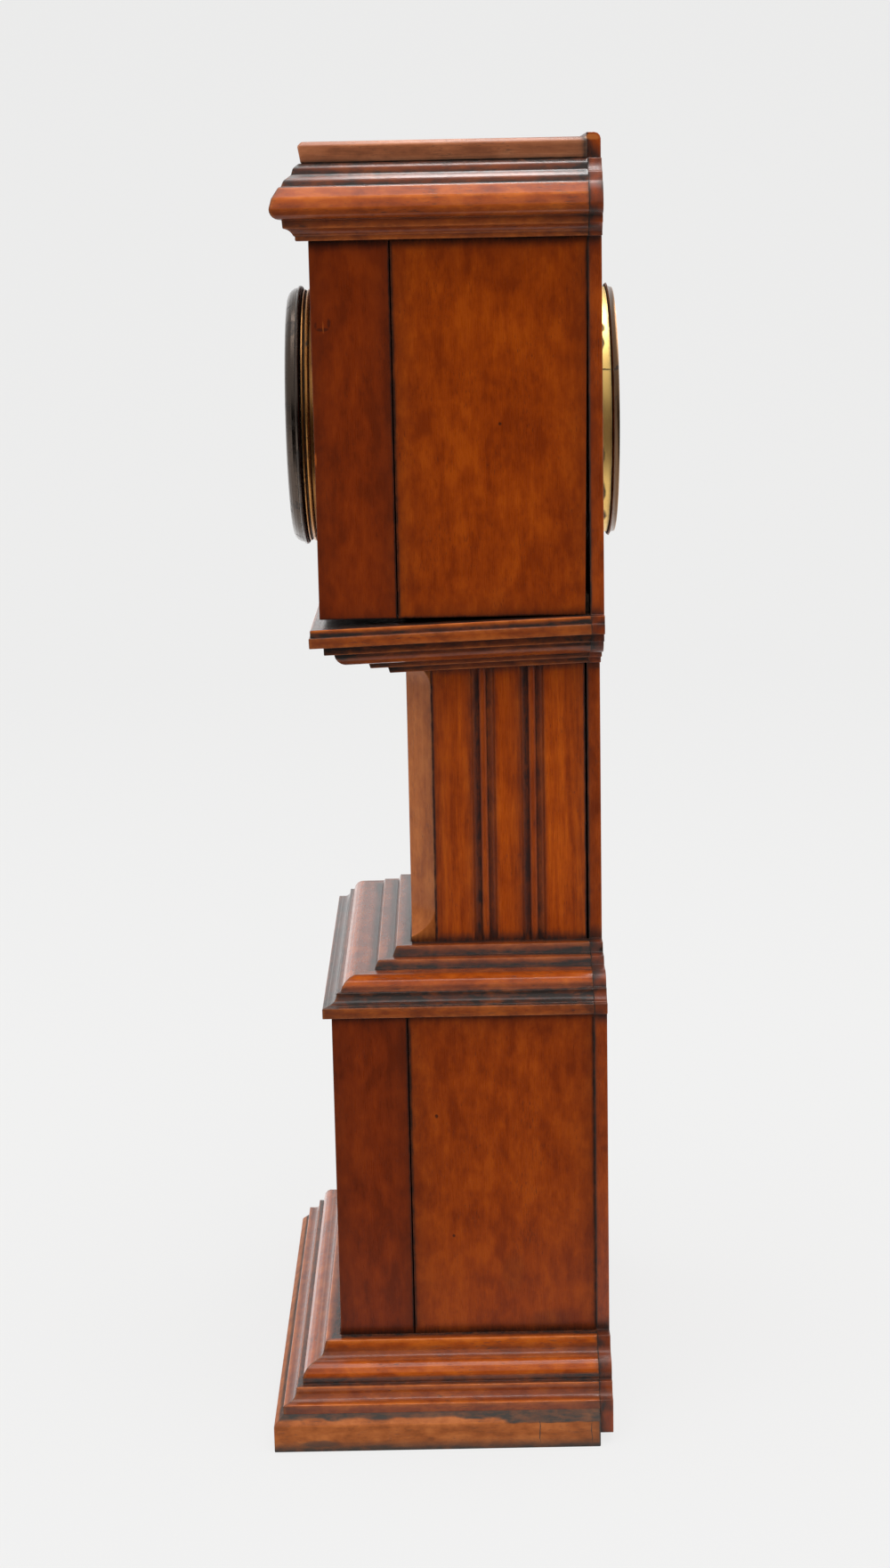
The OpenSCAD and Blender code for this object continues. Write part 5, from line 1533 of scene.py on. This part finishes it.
@dataclass
class Studio:
    """A pale seamless sweep, soft light and the camera at the photograph's place."""

    eye: Vector = Vector((1.0093, 0.0104, 0.4504))
    yaw: float = -0.0029
    pitch: float = 0.2122
    roll: float = -0.0203
    focal_px: float = 2929.7
    frame_h_px: float = 1762.0
    sensor_mm: float = 36.0
    white: Colour = (0.86, 0.86, 0.855)
    paper: Colour = (0.55, 0.55, 0.55)
    paper_seen: Colour = (0.08, 0.08, 0.08)
    glow_seen: Colour = (0.77, 0.77, 0.767)
    glow_mirrored: Colour = (0.75, 0.75, 0.75)
    horizon: float = 0.85
    zenith: float = 1.0
    floor_near: float = 2.2
    floor_far: float = -1.6
    floor_half: float = 3.0
    bend: float = 0.9
    wall_top: float = 3.2

    def build(self) -> None:
        """Builds the sweep, the lights, the world and the camera."""
        self._sweep()
        self._world()
        self._lights()
        self._camera()
        settings = bpy.context.scene.view_settings
        settings.view_transform = "Standard"
        settings.look = "None"

    def _camera(self) -> None:
        """Places the camera as the photograph's perspective gives it."""
        flat, down = math.cos(self.pitch), -math.sin(self.pitch)
        ahead = Vector((-math.cos(self.yaw) * flat, math.sin(self.yaw) * flat, down))
        level = ahead.cross(Vector((0.0, 0.0, 1.0))).normalized()
        up = level.cross(ahead)
        c, s = math.cos(self.roll), math.sin(self.roll)
        right, over = c * level + s * up, -s * level + c * up
        data = bpy.data.cameras.new("camera")
        data.sensor_fit = "VERTICAL"
        data.sensor_height = self.sensor_mm
        data.lens = self.focal_px / self.frame_h_px * self.sensor_mm
        data.clip_start, data.clip_end = 0.01, 30.0
        camera = linked("camera", data)
        turn = Matrix((right, over, -ahead)).transposed().to_4x4()
        camera.matrix_world = Matrix.Translation(self.eye) @ turn
        bpy.context.scene.camera = camera

    def _sweep(self) -> None:
        """Builds the floor, which curves up far behind the clock."""
        shape = bmesh.new()
        bend, far = self.bend, self.floor_far
        turns = [math.radians(k) for k in range(9, 91, 9)]
        profile = [(self.floor_near, 0.0), (far, 0.0)]
        profile += [(far - bend * math.sin(a), bend - bend * math.cos(a)) for a in turns]
        profile.append((far - bend, self.wall_top))
        rows = [[shape.verts.new((x, y, z)) for y in (-self.floor_half, self.floor_half)] for x, z in profile]
        for a, b in zip(rows, rows[1:]):
            shape.faces.new((a[0], a[1], b[1], b[0]))
        mesh = kept(shape, "sweep")
        sweep = linked("sweep", mesh)
        mesh.shade_smooth()
        mesh.materials.append(self._paper())

    def _paper(self) -> Material:
        """Builds the sweep's matt paper: even to the eye, and left out of the gloss on the near side."""
        material, graph, shader = new_material("sweep_paper")
        material.cycles.emission_sampling = "NONE"
        at = millimetres(graph)
        parts = graph.node("ShaderNodeSeparateXYZ")
        graph.put(parts.inputs[0], at)
        aside = graph.times(graph.maths("ABSOLUTE", parts.outputs["Y"]), 0.8)
        sector = graph.between(graph.minus(parts.outputs["X"], aside), 100.0, 300.0)
        path = graph.node("ShaderNodeLightPath")
        dark = graph.times(path.outputs["Is Glossy Ray"], sector)
        bounced = graph.blend(dark, self.paper, (0.01, 0.01, 0.01))
        shown = graph.blend(path.outputs["Is Camera Ray"], bounced, self.paper_seen)
        mirrored = graph.times(path.outputs["Is Glossy Ray"], graph.minus(1.0, sector))
        glow = graph.blend(mirrored, (0.0, 0.0, 0.0), self.glow_mirrored)
        glow = graph.blend(path.outputs["Is Camera Ray"], glow, self.glow_seen)
        graph.feed(shader, Base_Color=shown, Emission_Color=glow, Emission_Strength=1.0)
        graph.feed(shader, Roughness=1.0, Specular_IOR_Level=0.0)
        return material

    def _world(self) -> None:
        """Lights the clock from all round, with a dark room low down behind the camera."""
        world = bpy.data.worlds.new("studio")
        bpy.context.scene.world = world
        world.use_nodes = True
        graph = Graph(world.node_tree)
        place = graph.node("ShaderNodeTexCoord")
        parts = graph.node("ShaderNodeSeparateXYZ")
        graph.put(parts.inputs[0], place.outputs["Generated"])
        sky = graph.between(parts.outputs["Z"], 0.0, 1.0, self.horizon, self.zenith)
        sector = graph.between(parts.outputs["X"], 0.30, 0.80)
        low = graph.between(parts.outputs["Z"], 0.42, 0.10)
        room = graph.times(graph.times(sector, low), 0.97)
        strength = graph.times(sky, graph.minus(1.0, room))
        path = graph.node("ShaderNodeLightPath")
        seen = graph.feed(graph.node("ShaderNodeBackground"), Color=self.white, Strength=1.0)
        soft = graph.feed(graph.node("ShaderNodeBackground"), Color=(1.0, 1.0, 1.0), Strength=strength)
        shown = graph.either(path.outputs["Is Camera Ray"], soft.outputs[0], seen.outputs[0])
        graph.feed(graph.node("ShaderNodeOutputWorld"), Surface=shown)

    def _lights(self) -> None:
        """Hangs a soft box overhead, one high behind the camera and one that only the polish mirrors."""
        self._box("overhead", Vector((0.10, 0.0, 1.75)), Vector((0.0, 0.0, 0.3)), 1.3, 19.0)
        key = self._box("key", Vector((1.75, 0.25, 1.55)), Vector((0.0, 0.0, 0.25)), 0.9, 11.0)
        key.visible_glossy = False
        glint = self._box("glint", Vector((-0.15, 0.045, 1.60)), Vector((-0.15, 0.045, 0.0)), 0.60, 9.0)
        glint.data.shape = "RECTANGLE"
        glint.data.size_y = 0.22
        glint.visible_diffuse = False

    @staticmethod
    def _box(name: str, place: Vector, target: Vector, size: float, power: float) -> Object:
        """Hangs one square soft box that the camera doesn't see.

        Args:
            name: Name of the light.
            place: Where it hangs.
            target: The point that it faces.
            size: Length of its sides.
            power: Its power in watts.

        Returns:
            The light.
        """
        data = bpy.data.lights.new(name, "AREA")
        data.shape = "SQUARE"
        data.size = size
        data.energy = power
        light = linked(name, data)
        turn = (target - place).to_track_quat("-Z", "Y").to_matrix().to_4x4()
        light.matrix_world = Matrix.Translation(place) @ turn
        light.visible_camera = False
        return light


def main() -> None:
    """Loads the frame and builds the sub-assemblies in order."""
    logging.basicConfig(level=logging.INFO, format="%(name)s: %(message)s")
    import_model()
    palette = Palette(Effects())
    Studio().build()
    Case().build(palette)
    Metalwork().build(palette)
    DialFace().build(palette)


if __name__ == "__main__":
    main()
